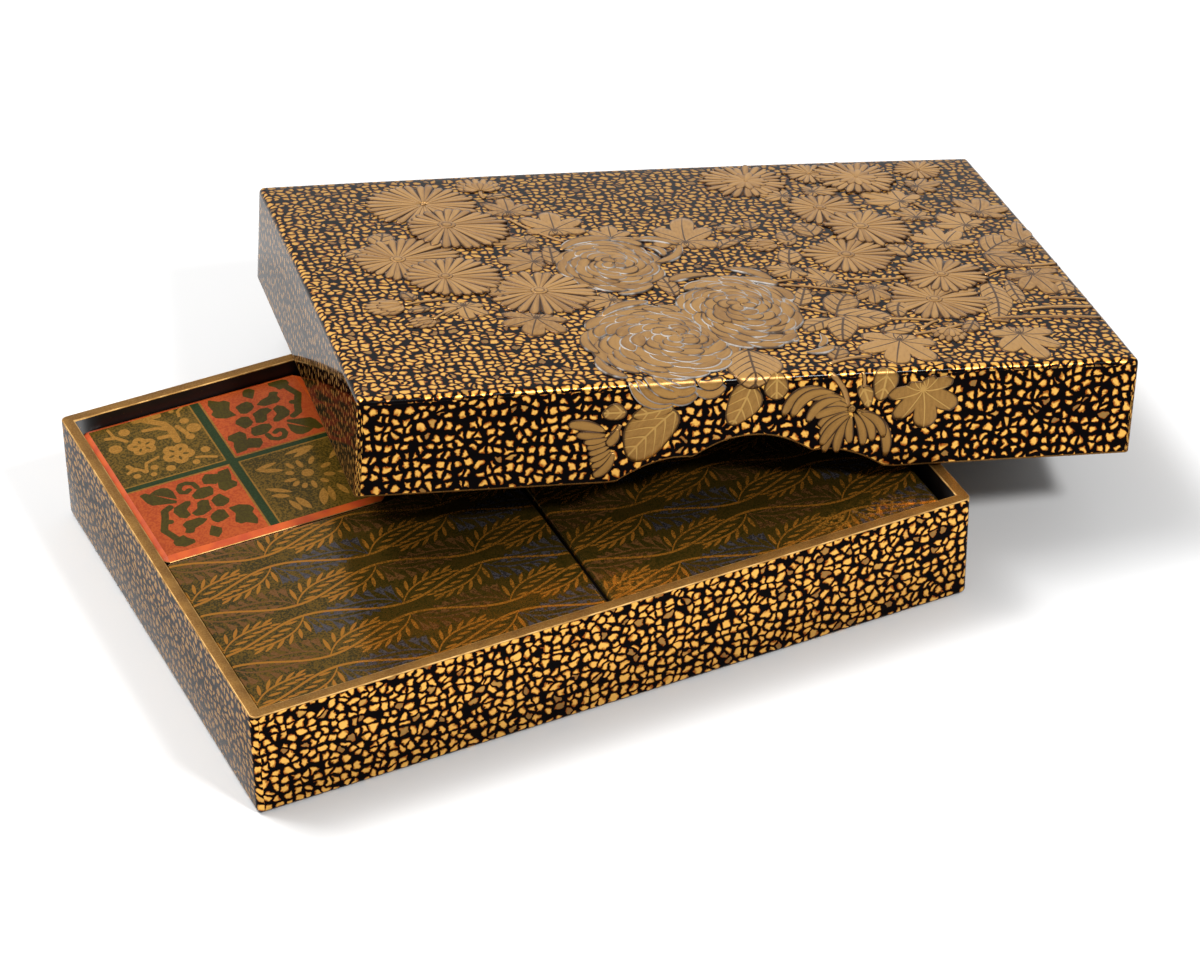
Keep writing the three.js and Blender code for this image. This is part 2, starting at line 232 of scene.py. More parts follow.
def make_dusted_black(name, dust):
    """Black lacquer with a thin sprinkle of gold powder."""
    material, tree, shader = new_material(name, IOR=1.4, Roughness=0.42)
    grains = ramp(tree, speckle(tree, place_on(tree), 3000.0), 0.74 - dust, 0.82 - dust)
    tone = blend_colour(tree, grains, DUSTED_GROUND, DUSTED_GRAIN)
    link(tree, tone, shader["Base Color"])
    link(tree, calc(tree, "MULTIPLY", grains, 0.6), shader["Metallic"])
    return material


def heading(angle):
    """Steps of length one that point at these angles."""
    return np.stack([np.cos(angle), np.sin(angle)], -1)


def rectangle_path(x_shares, y_shares, corner_steps):
    """Points round a rectangle with round corners, counter-clockwise from the front left.

    Each point is a place on the core rectangle, in shares from -1 to 1, and the way its wall faces.
    """
    x, y, ones_x, ones_y = x_shares, y_shares, np.ones(len(x_shares)), np.ones(len(y_shares))
    sides = [(x, -ones_x, -90), (ones_y, y, 0), (x[::-1], ones_x, 90), (-ones_y, y[::-1], 180)]
    core, facing = [], []
    for along_x, along_y, angle in sides:
        core.append(np.stack([along_x, along_y], -1))
        core.append(np.repeat(core[-1][-1:], corner_steps - 1, 0))
        facing += [angle] * len(along_x)
        facing += [angle + 90 * i / corner_steps for i in range(1, corner_steps)]
    return np.concatenate(core), heading(np.radians(facing))


def rings_on_path(path, half_size, corner, profile):
    """Carry a profile round a path: each profile point is how far in from the wall and how high.

    Further in than the corner's radius the path stays square, and its sides shorten.
    """
    core, faces = path
    inset, height = np.array(profile).T
    kept = np.maximum(corner, inset)[:, None, None]
    flat = core * (np.array(half_size) - kept) + faces * np.maximum(corner - inset, 0)[:, None, None]
    return np.concatenate([flat, np.broadcast_to(height[:, None, None], flat.shape[:2] + (1,))], -1)


def quarter_round(middle, radius, start, end, steps):
    """Profile points on an arc, by the middle, the radius and two angles in degrees."""
    angle = np.radians(np.linspace(start, end, steps + 1))
    return (np.array(middle) + radius * heading(angle)).tolist()


def grid_faces(rows, columns, wrap):
    """Four-sided faces between neighbouring rows and columns; wrap joins the last column to the first."""
    gaps = columns if wrap else columns - 1
    row, column = np.meshgrid(np.arange(rows - 1), np.arange(gaps), indexing="ij")
    after = (column + 1) % columns
    return np.stack([row * columns + column, row * columns + after,
                     (row + 1) * columns + after, (row + 1) * columns + column], -1).reshape(-1, 4)


def make_piece(name, points, faces, materials, index=None, uv=None, values=None, smooth=True):
    """A mesh object from whole arrays: points, faces, a material for each face, a UV for each corner."""
    mesh = bpy.data.meshes.new(name)
    mesh.from_pydata(np.asarray(points).tolist(), [], [list(face) for face in faces])
    for material in materials:
        mesh.materials.append(material)
    if index is not None:
        mesh.polygons.foreach_set("material_index", np.asarray(index, dtype=np.int32))
    mesh.polygons.foreach_set("use_smooth", np.full(len(mesh.polygons), smooth))
    if uv is not None:
        layer = mesh.uv_layers.new(name="unfolded")
        layer.data.foreach_set("uv", np.asarray(uv, dtype=np.float32).ravel())
    for label, numbers in (values or {}).items():
        kept = mesh.attributes.new(label, "FLOAT", "POINT")
        kept.data.foreach_set("value", np.asarray(numbers, dtype=np.float32))
    mesh.validate()
    piece = bpy.data.objects.new(name, mesh)
    bpy.context.scene.collection.objects.link(piece)
    return piece


def fit_in(piece, node_name):
    """The piece stands for a node of the box, which it hides, and hangs from the box's root body."""
    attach(piece, "root")
    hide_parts(node_name)


flake_ground = make_flake_ground()
tray_flakes = make_flake_lacquer("tray_flakes", per_metre=650.0, gap=0.087)
rim_gold = make_matt_gold("rim_gold")
worn_and_highlight_gold = make_worn_and_highlight_gold("worn_and_highlight_gold")
tray_inside = make_dusted_black("tray_inside", dust=0.02)
tray_profile = (
    [(3 * TRAY_CORNER, 0.0)]
    + quarter_round((TRAY_CORNER, TRAY_CORNER), TRAY_CORNER, 270, 180, 6)
    + quarter_round((RIM_EDGE, TRAY_HEIGHT - RIM_EDGE), RIM_EDGE, 180, 90, 3)
    + quarter_round((TRAY_WALL - RIM_EDGE, TRAY_HEIGHT - RIM_EDGE), RIM_EDGE, 90, 0, 3)
    + quarter_round((TRAY_WALL + INNER_CORNER, TRAY_FLOOR + INNER_CORNER), INNER_CORNER, 180, 270, 3)
)
tray_path = rectangle_path(np.linspace(-1, 1, 25), np.linspace(-1, 1, 17), 8)
tray_rings = rings_on_path(tray_path, (TRAY_LENGTH / 2, TRAY_WIDTH / 2), TRAY_CORNER, tray_profile)
ring_count, path_count = tray_rings.shape[:2]
tray_points = tray_rings.reshape(-1, 3)
tray_faces = grid_faces(ring_count, path_count, True)
wall_ring = tray_rings[WALL_TOP]
around = np.r_[0, np.cumsum(np.linalg.norm(np.roll(wall_ring, -1, 0) - wall_ring, axis=1))]
up = np.r_[0, np.cumsum(np.linalg.norm(np.diff(np.array(tray_profile), axis=0), axis=1))]
unfolded = np.stack(np.meshgrid(up, around, indexing="ij")[::-1], -1)
tray_uv = unfolded.reshape(-1, 2)[grid_faces(ring_count, path_count + 1, False)]
FLAKES, RIM, WORN, DARK = range(4)
band = np.repeat([DARK] + [FLAKES] * 7 + [WORN] * 3 + [RIM] + [WORN] * 3 + [DARK] * 4, path_count)
number = np.arange(ring_count * path_count).reshape(ring_count, path_count)
caps = [number[0, ::-1].tolist(), number[-1].tolist()]
tray_uv = np.concatenate([tray_uv.reshape(-1, 2)] + [tray_points[cap, :2] for cap in caps])
tray = make_piece("tray", tray_points, tray_faces.tolist() + caps,
                  [tray_flakes, rim_gold, worn_and_highlight_gold, tray_inside], np.r_[band, DARK, DARK], tray_uv)
fit_in(tray, "base_tray")


# The three small boxes that stand in the tray, each a black lacquered body with a lip for its lid. Only
# the lids and the gaps between them show, so the bodies stay the plain solids they are.
box_black = make_dusted_black("box_black", dust=0.0)
for body_name in ("red_box_body", "willow_box_left_body", "willow_box_right_body"):
    body_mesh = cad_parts[body_name].data
    body_mesh.materials.clear()
    body_mesh.materials.append(box_black)


# The lid of the square box: four painted squares, two red and two olive, parted by dark green bands with
# fine gold lines, all polished flush, inside a sloped red border. A thin band of worn gold at the border's
# foot is a painted highlight for its lit lower edge.
LID_WALL, LID_CEILING = 0.85 * MM, 1.6 * MM
RED_SLOPE, RED_DROP = 1.1 * MM, 0.55 * MM
# The painted highlight at the foot of the border: a narrow band of worn gold standing for its lit lower
# edge.
LIT_EDGE_DOWN, LIT_EDGE_IN, LIT_EDGE_TO = 0.05 * MM, 0.08 * MM, 0.92 * RED_DROP
BAND_X, BAND_Y = (-38.3, -36.9), (19.83, 20.83)
LEFT_MIDDLE, RIGHT_MIDDLE, BACK_MIDDLE, FRONT_MIDDLE = -46.5, -28.6, 29.2, 11.5
PAINT_STEP = 0.19 * MM
RED_GROUND, RED_GROUND_DEEP = (0.34, 0.064, 0.014, 1.0), (0.20, 0.030, 0.007, 1.0)
RED_BORDER, RED_BORDER_THIN = (0.45, 0.072, 0.008, 1.0), (0.34, 0.040, 0.008, 1.0)
OLIVE_GROUND, OLIVE_DARK = (0.115, 0.064, 0.009, 1.0), (0.028, 0.019, 0.0025, 1.0)
PAINT_GOLD, PAINT_OLIVE = (0.215, 0.100, 0.016, 1.0), (0.050, 0.037, 0.005, 1.0)
BAND_GREEN = (0.013, 0.024, 0.007, 1.0)


def spaced(low, high, step):
    """Evenly spaced lines from low to high, no further apart than the step."""
    return np.linspace(low, high, int(np.ceil((high - low) / step)) + 1)


def lid_shape(x_lines, y_lines, corner, corner_steps, profile, lift_rings=None):
    """A lid as one closed mesh: a profile carried round the edge of a fine grid that is its top.

    The profile runs from the ceiling inside, down the inner wall, under the edge and up the outer wall to
    the grid's own border. lift_rings may move the rings' points. Gives the points, the faces of the walls
    and of the top, and the numbers of the points in each ring.
    """
    middle = np.array([(x_lines[0] + x_lines[-1]) / 2, (y_lines[0] + y_lines[-1]) / 2])
    half = np.array([x_lines[-1] - x_lines[0], y_lines[-1] - y_lines[0]]) / 2
    x_shares, y_shares = (x_lines - middle[0]) / half[0], (y_lines - middle[1]) / half[1]
    path = rectangle_path(x_shares, y_shares, corner_steps)
    rings = rings_on_path(path, half + corner, corner, profile)
    if lift_rings:
        rings = lift_rings(rings, path)
    rings[..., :2] += middle
    ring_count, path_count = rings.shape[:2]
    grid = np.stack(np.meshgrid(x_lines, y_lines), -1)
    grid = np.concatenate([grid, np.full(grid.shape[:2] + (1,), profile[-1][1])], -1)
    columns, rows = len(x_lines), len(y_lines)
    number = np.arange(columns * rows).reshape(rows, columns)
    border = [number[0], number[:, -1], number[-1, ::-1], number[::-1, 0]]
    border = np.concatenate([np.r_[side, np.repeat(side[-1], corner_steps - 1)] for side in border])
    first = ring_count * path_count - path_count
    index = np.arange(first).reshape(ring_count - 1, path_count)
    index = np.concatenate([index, first + border[None]])
    walls = index.ravel()[grid_faces(ring_count, path_count, True)]
    points = np.concatenate([rings[:-1].reshape(-1, 3), grid.reshape(-1, 3)])
    return points, walls, first + grid_faces(rows, columns, False), index


def lid_faces(walls, top, ceiling):
    """The faces of a lid as lists, with corners that fall together joined, its ceiling as one face."""
    sides = [list(dict.fromkeys(face)) for face in walls.tolist()]
    return sides + top.tolist() + [ceiling[::-1].tolist()]


def along_and_over(x, y, start, turn):
    """How far each point lies along a line from its start and to its left, the turn in degrees."""
    turn = np.radians(turn)
    run, rise = x - start[0], y - start[1]
    return run * np.cos(turn) + rise * np.sin(turn), rise * np.cos(turn) - run * np.sin(turn)


def spot(x, y, middle, radius, squash=1.0, turn=0.0):
    """Distance outside a round or oval patch of paint, below zero inside it."""
    along, over = along_and_over(x, y, middle, turn)
    return (np.hypot(along, over / squash) - radius) * min(squash, 1.0)


def slim_leaf(x, y, root, turn, length, half_width):
    """Distance outside a slim pointed leaf: where two equal round arcs meet at its root and its tip."""
    along, over = along_and_over(x, y, root, turn)
    radius = (length ** 2 / 4 + half_width ** 2) / (2 * half_width)
    return np.hypot(along - length / 2, np.abs(over) + radius - half_width) - radius


def brush_line(x, y, corners, half_width):
    """Distance outside a brushed line through the corners, below zero inside it."""
    nearest = np.full(x.shape, np.inf)
    for start, end in zip(corners[:-1], corners[1:]):
        way = np.array(end) - start
        run, rise = x - start[0], y - start[1]
        share = np.clip((run * way[0] + rise * way[1]) / (way @ way), 0, 1)
        nearest = np.minimum(nearest, np.hypot(run - share * way[0], rise - share * way[1]))
    return nearest - half_width


def plum_blossom(x, y, middle, radius, turn):
    """Distance outside a five-petalled blossom with a slit left bare down each petal."""
    shape = spot(x, y, middle, 0.55 * radius)
    slits = np.full(x.shape, np.inf)
    for angle in turn + 72 * np.arange(5):
        way = heading(np.radians(angle))
        shape = np.minimum(shape, spot(x, y, middle + 0.58 * radius * way, 0.46 * radius))
        slit = middle + 0.25 * radius * way
        slits = np.minimum(slits, slim_leaf(x, y, slit, angle, 0.45 * radius, 0.1 * radius))
    return np.maximum(shape, -slits)


def plum_square(x, y):
    """A plum branch with two open blossoms, round buds and bare twigs, in mm from the square's middle."""
    shape = brush_line(x, y, [(-0.3, 7.6), (1.0, 6.3), (2.8, 4.8), (3.3, 3.0), (3.2, -0.2)], 0.62)
    for corners, half_width in [
        ([(-0.9, 7.4), (0.8, 7.5), (2.6, 7.2)], 0.7),
        ([(-0.6, 4.4), (1.6, 4.1), (2.6, 3.3)], 0.38), ([(1.0, 1.6), (2.8, 1.4)], 0.45),
        ([(-6.6, 4.9), (-5.1, 4.5), (-4.0, 3.0)], 0.36), ([(-5.6, 7.0), (-5.3, 4.5)], 0.25),
        ([(4.5, 3.2), (5.2, 0.8)], 0.4), ([(6.9, 7.6), (5.9, 6.8), (5.7, 5.6)], 0.25),
        ([(4.4, -5.5), (5.6, -5.9), (7.1, -6.7)], 0.3), ([(-6.6, -4.9), (-5.2, -4.2), (-4.4, -5.0)], 0.3),
        ([(-3.9, -5.6), (-3.2, -3.6), (-1.0, -2.9)], 0.26), ([(-6.0, -3.2), (-5.4, -4.6)], 0.4),
    ]:
        shape = np.minimum(shape, brush_line(x, y, corners, half_width))
    for middle, radius in [
        ((-6.2, 1.8), 1.05), ((-3.5, 5.3), 0.9), ((6.7, 1.8), 1.15), ((6.0, 4.1), 0.75),
        ((5.0, 7.3), 0.45), ((5.4, -0.1), 0.75), ((-5.6, -6.1), 0.6), ((-4.0, -5.5), 0.5),
        ((-2.4, -5.1), 0.62),
        ((-3.1, -6.7), 0.5), ((-0.2, -6.4), 0.75), ((3.9, -6.6), 0.6), ((6.3, -4.2), 0.75),
    ]:
        shape = np.minimum(shape, spot(x, y, middle, radius))
    shape = np.minimum(shape, plum_blossom(x, y, np.array([-2.2, 0.8]), 2.25, 20))
    return np.minimum(shape, plum_blossom(x, y, np.array([2.1, -3.4]), 2.5, 52))


def outlined(x, y, corners):
    """Distance outside a patch with these corners, below zero inside it by even and odd crossings."""
    corners = np.array(corners)
    inside = np.zeros(x.shape, bool)
    for (x0, y0), (x1, y1) in zip(corners, np.roll(corners, -1, 0)):
        slope = (x1 - x0) / (y1 - y0) if y1 != y0 else 0.0
        inside ^= ((y0 > y) != (y1 > y)) & (x < x0 + (y - y0) * slope)
    edge = brush_line(x, y, np.vstack([corners, corners[:1]]), 0.0)
    return np.where(inside, -edge, edge)


VINE_PATCHES = [
    # two leaves in halves along a bare rib
    [(-5.4, 6.5), (-4.5, 7.0), (-3.4, 7.2), (-2.5, 6.7), (-2.1, 5.6), (-2.2, 3.6), (-3.7, 5.0)],
    [(-7.0, 6.8), (-6.1, 7.0), (-3.9, 4.7), (-2.4, 3.2), (-2.6, 2.7), (-4.2, 3.2), (-6.1, 3.7),
     (-6.6, 4.6)],
    [(2.9, 5.3), (3.0, 6.5), (3.9, 7.5), (5.0, 7.0), (6.3, 6.6), (5.2, 5.3), (4.6, 4.5), (3.9, 4.9)],
    [(5.9, 7.2), (7.6, 7.4), (7.4, 5.6), (7.0, 4.5), (7.6, 3.6), (7.2, 2.7), (5.2, 2.3), (4.6, 3.2),
     (4.8, 4.2)],
    # a lobed leaf and the foot of the vine
    [(4.1, -1.9), (5.8, -1.8), (7.2, -2.6), (7.5, -3.7), (6.9, -4.4), (7.1, -6.2), (6.6, -7.4),
     (5.2, -6.3), (4.4, -6.3), (3.8, -5.5), (4.6, -3.6)],
    [(-6.5, -6.2), (-5.6, -5.4), (-4.5, -5.2), (-4.2, -6.0), (-3.4, -6.9), (-3.5, -7.6), (-5.2, -7.9),
     (-6.4, -7.1)],
    # the fruit
    [(0.2, 3.4), (1.4, 4.4), (2.3, 4.6), (3.5, 4.4), (3.7, 3.6), (3.2, 2.3), (1.5, 2.0), (0.3, 2.4)],
    [(-3.8, 0.7), (-3.3, 1.7), (-1.2, 2.5), (-0.6, 2.2), (-0.8, 1.5), (-1.8, 0.6), (-1.7, -0.9),
     (-2.6, -1.5), (-3.4, -0.9)],
    [(-1.4, -0.7), (-0.2, 0.0), (0.3, 1.4), (1.1, 1.7), (2.0, 1.3), (1.7, 0.0), (1.7, -1.0),
     (0.1, -1.8), (-1.0, -1.6)],
    [(2.4, 0.9), (3.0, 1.6), (4.1, 2.0), (4.5, 1.2), (5.0, 0.2), (4.6, -0.6), (3.5, -1.1),
     (2.6, -0.7)],
    [(0.8, -2.8), (1.4, -2.1), (2.5, -1.6), (3.3, -2.0), (3.4, -3.9), (2.2, -4.4), (1.3, -4.5),
     (0.8, -3.8)],
    [(-4.0, -4.7), (-3.5, -3.9), (-3.7, -2.8), (-2.9, -2.2), (-0.8, -2.2), (0.2, -3.0), (-0.8, -3.8),
     (-2.3, -4.3), (-2.8, -5.2), (-3.5, -5.1)],
    [(0.2, -4.8), (1.3, -6.0), (1.0, -7.0), (0.1, -7.9), (-0.9, -6.8), (-0.4, -5.8)],
]
VINE_STROKES = [
    # the corners of the stem, a thorn and a tendril, and their half widths
    ([(-3.9, 2.1), (-5.0, 1.5), (-5.4, 0.1), (-6.1, -1.5), (-6.7, -2.9), (-6.1, -4.4), (-5.6, -5.9)],
     0.58),
    ([(-5.6, -1.0), (-5.1, -1.3)], 0.55),
    ([(1.6, 5.0), (1.4, 6.1), (0.5, 6.7), (-0.5, 6.6), (-1.1, 5.7), (-1.0, 4.8), (-0.3, 4.5), (0.3, 4.9)],
     0.46),
]


def vine_square(x, y):
    """A grape vine: lobed leaves, loose fruit, a bending stem and a tendril, in mm from the middle."""
    shape = np.full(x.shape, np.inf)
    for corners in VINE_PATCHES:
        shape = np.minimum(shape, outlined(x, y, corners) - 0.06)
    for corners, half_width in VINE_STROKES:
        shape = np.minimum(shape, brush_line(x, y, corners, half_width))
    return shape


def grass_square(x, y):
    """An autumn flower: a round heart with small loose petals, and pairs of slim leaves round it."""
    shape = spot(x, y, (0.3, 1.0), 0.95)
    for middle, radius, squash, turn in [
        ((-2.2, 2.1), 0.7, 0.75, 150), ((-2.8, 0.4), 1.0, 0.42, -5), ((-2.3, -0.8), 0.75, 0.6, 40),
        ((-1.3, -1.8), 0.7, 0.65, 60), ((0.1, -2.1), 1.0, 0.4, 88), ((1.9, -1.9), 0.75, 0.62, -50),
        ((3.2, -0.7), 0.9, 0.55, -25), ((3.5, 1.6), 0.9, 0.55, 15), ((2.0, 3.7), 1.0, 0.42, 55),
        ((0.0, 3.6), 1.05, 0.4, 95), ((-1.5, 3.8), 0.95, 0.4, 110),
    ]:
        shape = np.minimum(shape, spot(x, y, middle, radius, squash, turn))
    for root, turn, length, half_width in [
        ((-6.8, 5.0), 8, 3.9, 0.42), ((-6.5, 4.7), -22, 4.1, 0.48), ((-1.3, 6.8), 5, 5.0, 0.45),
        ((-0.3, 5.5), 20, 4.3, 0.5), ((-7.2, 0.1), -35, 4.5, 0.45), ((-6.9, -1.9), -28, 3.0, 0.5),
        ((-4.9, -4.1), -74, 3.5, 0.5), ((-3.7, -3.8), -72, 4.0, 0.62), ((1.0, -3.5), -110, 4.4, 0.7),
        ((1.9, -3.4), -98, 4.1, 0.5), ((3.2, -3.4), -76, 3.4, 0.5), ((4.6, 2.8), 40, 4.0, 0.5),
        ((4.4, -0.6), -30, 4.0, 0.5),
    ]:
        shape = np.minimum(shape, slim_leaf(x, y, root, turn, length, half_width))
    return shape


def attribute(tree, name):
    """A number kept on the piece's own points."""
    return node(tree, "ShaderNodeAttribute", attribute_name=name).outputs["Fac"]


def make_gold_powder():
    """Sprinkled powder: grains of one colour over another, with a slow drift in how thick they lie."""
    tree, given, made = group_of(
        "gold_powder",
        [("Place", "NodeSocketVector"), ("Ground", "NodeSocketColor"), ("Grain", "NodeSocketColor")],
        [("Color", "NodeSocketColor"), ("Grains", "NodeSocketFloat")],
    )
    fine = speckle(tree, given["Place"], 3500.0, 2.0)
    drift = calc(tree, "MULTIPLY_ADD", speckle(tree, given["Place"], 160.0, 2.0), 0.3, -0.15)
    grains = ramp(tree, calc(tree, "ADD", fine, drift), 0.40, 0.62)
    link(tree, blend_colour(tree, grains, given["Ground"], given["Grain"]), made["Color"])
    link(tree, grains, made["Grains"])
    return tree


def powder(tree, ground, grain):
    """The powder group placed in a material with its own two colours."""
    feeds = {"Place": place_on(tree), "Ground": ground, "Grain": grain}
    return node(tree, "ShaderNodeGroup", feeds, node_tree=gold_powder).outputs


def painted(tree, distance, soft=0.05):
    """Where a patch of paint lies, from the distance outside it in mm."""
    return ramp(tree, attribute(tree, distance), soft, -soft)


def make_red_squares():
    """The painted squares: two grounds, their motifs in each other's tone, green bands and gold lines."""
    material, tree, shader = new_material("red_squares", IOR=1.18, Roughness=0.25)
    red, olive = powder(tree, RED_GROUND_DEEP, RED_GROUND), powder(tree, OLIVE_DARK, OLIVE_GROUND)
    gold, leaf = powder(tree, OLIVE_GROUND, PAINT_GOLD), powder(tree, OLIVE_DARK, PAINT_OLIVE)
    is_olive = ramp(tree, attribute(tree, "olive_square"), -0.1, 0.1)
    ground = blend_colour(tree, is_olive, red["Color"], olive["Color"])
    motif = blend_colour(tree, is_olive, leaf["Color"], PAINT_GOLD)
    tone = blend_colour(tree, painted(tree, "motif"), ground, motif)
    line = calc(tree, "ABSOLUTE", calc(tree, "SUBTRACT", attribute(tree, "band"), 0.16))
    tone = blend_colour(tree, ramp(tree, line, 0.17, 0.09), tone, gold["Color"])
    tone = blend_colour(tree, painted(tree, "band"), tone, BAND_GREEN)
    link(tree, tone, shader["Base Color"])
    link(tree, calc(tree, "MULTIPLY", olive["Grains"], 0.35), shader["Metallic"])
    return material


def make_red_border():
    """The sloped border: orange red lacquer, deeper in places where it has thinned."""
    material, tree, shader = new_material("red_border", IOR=1.45, Roughness=0.3)
    cloud = ramp(tree, speckle(tree, place_on(tree), 300.0, 4.0), 0.35, 0.7)
    link(tree, blend_colour(tree, cloud, RED_BORDER, RED_BORDER_THIN), shader["Base Color"])
    return material


gold_powder = make_gold_powder()
red_low, red_high = (np.array(corner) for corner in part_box("red_box_lid"))
x_lines = spaced(red_low[0] + RED_SLOPE, red_high[0] - RED_SLOPE, PAINT_STEP)
y_lines = spaced(red_low[1] + RED_SLOPE, red_high[1] - RED_SLOPE, PAINT_STEP)
lid_bottom, lid_top = red_low[2], red_high[2]
red_profile = [(LID_WALL, lid_top - LID_CEILING), (LID_WALL, lid_bottom), (0.0, lid_bottom),
               (0.0, lid_top - RED_DROP - LIT_EDGE_DOWN), (LIT_EDGE_IN, lid_top - LIT_EDGE_TO),
               (RED_SLOPE, lid_top)]
points, walls, top, index = lid_shape(x_lines, y_lines, RED_SLOPE, 1, red_profile)
x, y = points[:, 0] / MM, points[:, 1] / MM
cross_x, cross_y = np.mean(BAND_X), np.mean(BAND_Y)
band = np.minimum(np.abs(x - cross_x) - np.ptp(BAND_X) / 2, np.abs(y - cross_y) - np.ptp(BAND_Y) / 2)
back_left = plum_square(x - LEFT_MIDDLE, y - BACK_MIDDLE)
front_left = vine_square(x - LEFT_MIDDLE, y - FRONT_MIDDLE)
back_right = vine_square(RIGHT_MIDDLE - x, BACK_MIDDLE - y)
front_right = grass_square(x - RIGHT_MIDDLE, y - FRONT_MIDDLE)
left = np.where(y > cross_y, back_left, front_left)
right = np.where(y > cross_y, back_right, front_right)
motif = np.where(x < cross_x, left, right)
paint = {"band": band, "motif": motif, "olive_square": np.sign((cross_x - x) * (y - cross_y))}
# The band of worn gold at the border's foot is a painted highlight for the lit lower edge.
BORDER, BLACK, LIT_EDGE, SQUARES = range(4)
bands = np.repeat([BLACK] * 3 + [LIT_EDGE, BORDER], index.shape[1])
red_lid = make_piece("red_lid", points, lid_faces(walls, top, index[0]),
                     [make_red_border(), box_black, worn_and_highlight_gold, make_red_squares()],
                     np.r_[bands, np.full(len(top), SQUARES), BLACK], values=paint, smooth=False)
fit_in(red_lid, "red_box_lid")


# The lids of the two long boxes: an olive ground of sprinkled gold with rows of winding stems, slim gold
# leaves on one side and bell-shaped sprays in pewter or brown on the other, flush under clear lacquer.
WILLOW_EDGE = 0.7 * MM
ROWS, ROW_SPACING, ROW_FIRST, WAVE_LENGTH, WAVE_HEIGHT = 7, 6.45, -1.9, 28.6, 1.9
WILLOW_GROUND, WILLOW_GRAIN = (0.027, 0.019, 0.0026, 1.0), (0.138, 0.077, 0.012, 1.0)
WILLOW_GOLD, WILLOW_GOLD_DEEP = (0.38, 0.158, 0.019, 1.0), (0.27, 0.100, 0.011, 1.0)
PEWTER, BROWN_SPRAY = (0.060, 0.051, 0.053, 1.0), (0.150, 0.062, 0.018, 1.0)
BELLS = [
    # how far along and above the stem's low point a floret starts, the way it points, length, half width
    (0.1, 0.4, 99, 4.2, 0.75), (1.2, 1.4, 106, 3.6, 0.73), (2.9, 2.3, 115, 2.9, 0.68),
    (4.6, 2.9, 124, 2.3, 0.60), (6.3, 3.1, 132, 1.8, 0.50), (7.9, 3.25, 144, 1.5, 0.42),
    (9.4, 3.4, 158, 1.3, 0.34),
    # those under the branch
    (1.3, 0.9, 176, 2.4, 0.56), (3.2, 1.7, 180, 2.2, 0.54), (5.2, 2.2, 182, 2.0, 0.47),
    (7.0, 2.5, 182, 1.7, 0.40), (8.6, 2.75, 180, 1.4, 0.33),
]
SLIM_LEAVES = [
    # the same for slim leaves
    (0.45, 1.0, 90, 3.1, 0.31), (1.7, 2.4, 77, 2.6, 0.29), (3.0, 3.2, 58, 2.6, 0.27),
    (4.6, 3.85, 42, 2.5, 0.26), (6.3, 4.25, 30, 2.3, 0.24), (8.0, 4.5, 20, 2.1, 0.23),
    # those under the branch
    (1.3, 0.75, 3, 2.2, 0.24), (2.6, 1.9, 1, 2.3, 0.25), (4.1, 2.7, -2, 2.3, 0.24),
    (5.7, 3.2, -4, 2.2, 0.23), (7.3, 3.5, -6, 2.1, 0.22), (8.8, 3.75, -6, 1.9, 0.20),
]
RUBBED_PATCHES = [(46.0, -33.5, 5.0), (38.0, -34.0, 2.5), (4.0, -33.5, 3.0)]
STALK_HALF, BRANCH_HALF, FAR_OFF = 0.1, 0.14, 9.0


def bell(x, y, root, turn, length, half_width):
    """Distance outside a floret on a thin stalk that flares into a bell with a lobed mouth."""
    along, over = along_and_over(x, y, root, turn)
    over = np.abs(over)
    flare = np.clip(1 - (length - along) / (2.8 * half_width), 0, 1)
    lobes = 0.2 * half_width * np.cos(2 * np.pi * over / half_width)
    side = over - STALK_HALF - (half_width - STALK_HALF) * flare
    return np.maximum(side, np.maximum(-along, along - length - lobes))


def branch(x, y, length, height, soon):
    """Distance outside a side branch: it rises quickly at first, then levels off at its height."""
    rise = height * (1 - np.exp(-np.maximum(x, 0) / soon))
    return np.where((x > 0) & (x < length), np.abs(y - rise) * 0.8 - BRANCH_HALF, FAR_OFF)


def leaf_branch(x, y):
    """A branch running right from a stem's low point, with slim leaves over it and under it."""
    shape = branch(x, y, length=9.6, height=4.4, soon=2.6)
    for run, rise, turn, length, half_width in SLIM_LEAVES:
        shape = np.minimum(shape, slim_leaf(x, y, (run, rise), turn, length, half_width))
    return shape


def bell_branch(x, y):
    """A branch running left from a stem's low point, with bell-shaped florets that shrink to its end."""
    shape = branch(-x, y, length=10.2, height=3.4, soon=2.2)
    for run, rise, turn, length, half_width in BELLS:
        shape = np.minimum(shape, bell(x, y, (-run, rise), turn, length, half_width))
    return shape


def willow_paint(x, y, low_point):
    """The winding pattern as distances in mm: stems of odd and even rows, leaves, and two sprays.

    Rows wind in turn, one low where the next is high. At each low point a leaf branch runs right and a
    bell branch left, and at each high point the same two hang down, turned half round.
    """
    far = np.full(x.shape, FAR_OFF)
    paint = {"gold_leaves": far, "pewter_spray": far, "brown_spray": far}
    twice = 2 * ROW_SPACING
    for row in range(ROWS):
        sign = 1 if row % 2 == 0 else -1
        level = ROW_FIRST - ROW_SPACING * row
        wave = level - sign * WAVE_HEIGHT * np.cos(2 * np.pi * (x - low_point) / WAVE_LENGTH)
        if row < 2:
            paint[f"stem_{row}"] = np.sin(np.pi * (y - wave) / twice) * twice / np.pi
        for half_turn in (1, -1):
            start = low_point + (0 if sign * half_turn == 1 else WAVE_LENGTH / 2)
            local_x = half_turn * ((x - start + WAVE_LENGTH / 2) % WAVE_LENGTH - WAVE_LENGTH / 2)
            local_y = half_turn * (y - level) + WAVE_HEIGHT
            spray = "brown_spray" if row % 2 == 0 else "pewter_spray"
            paint["gold_leaves"] = np.minimum(paint["gold_leaves"], leaf_branch(local_x, local_y))
            paint[spray] = np.minimum(paint[spray], bell_branch(local_x, local_y))
    return paint


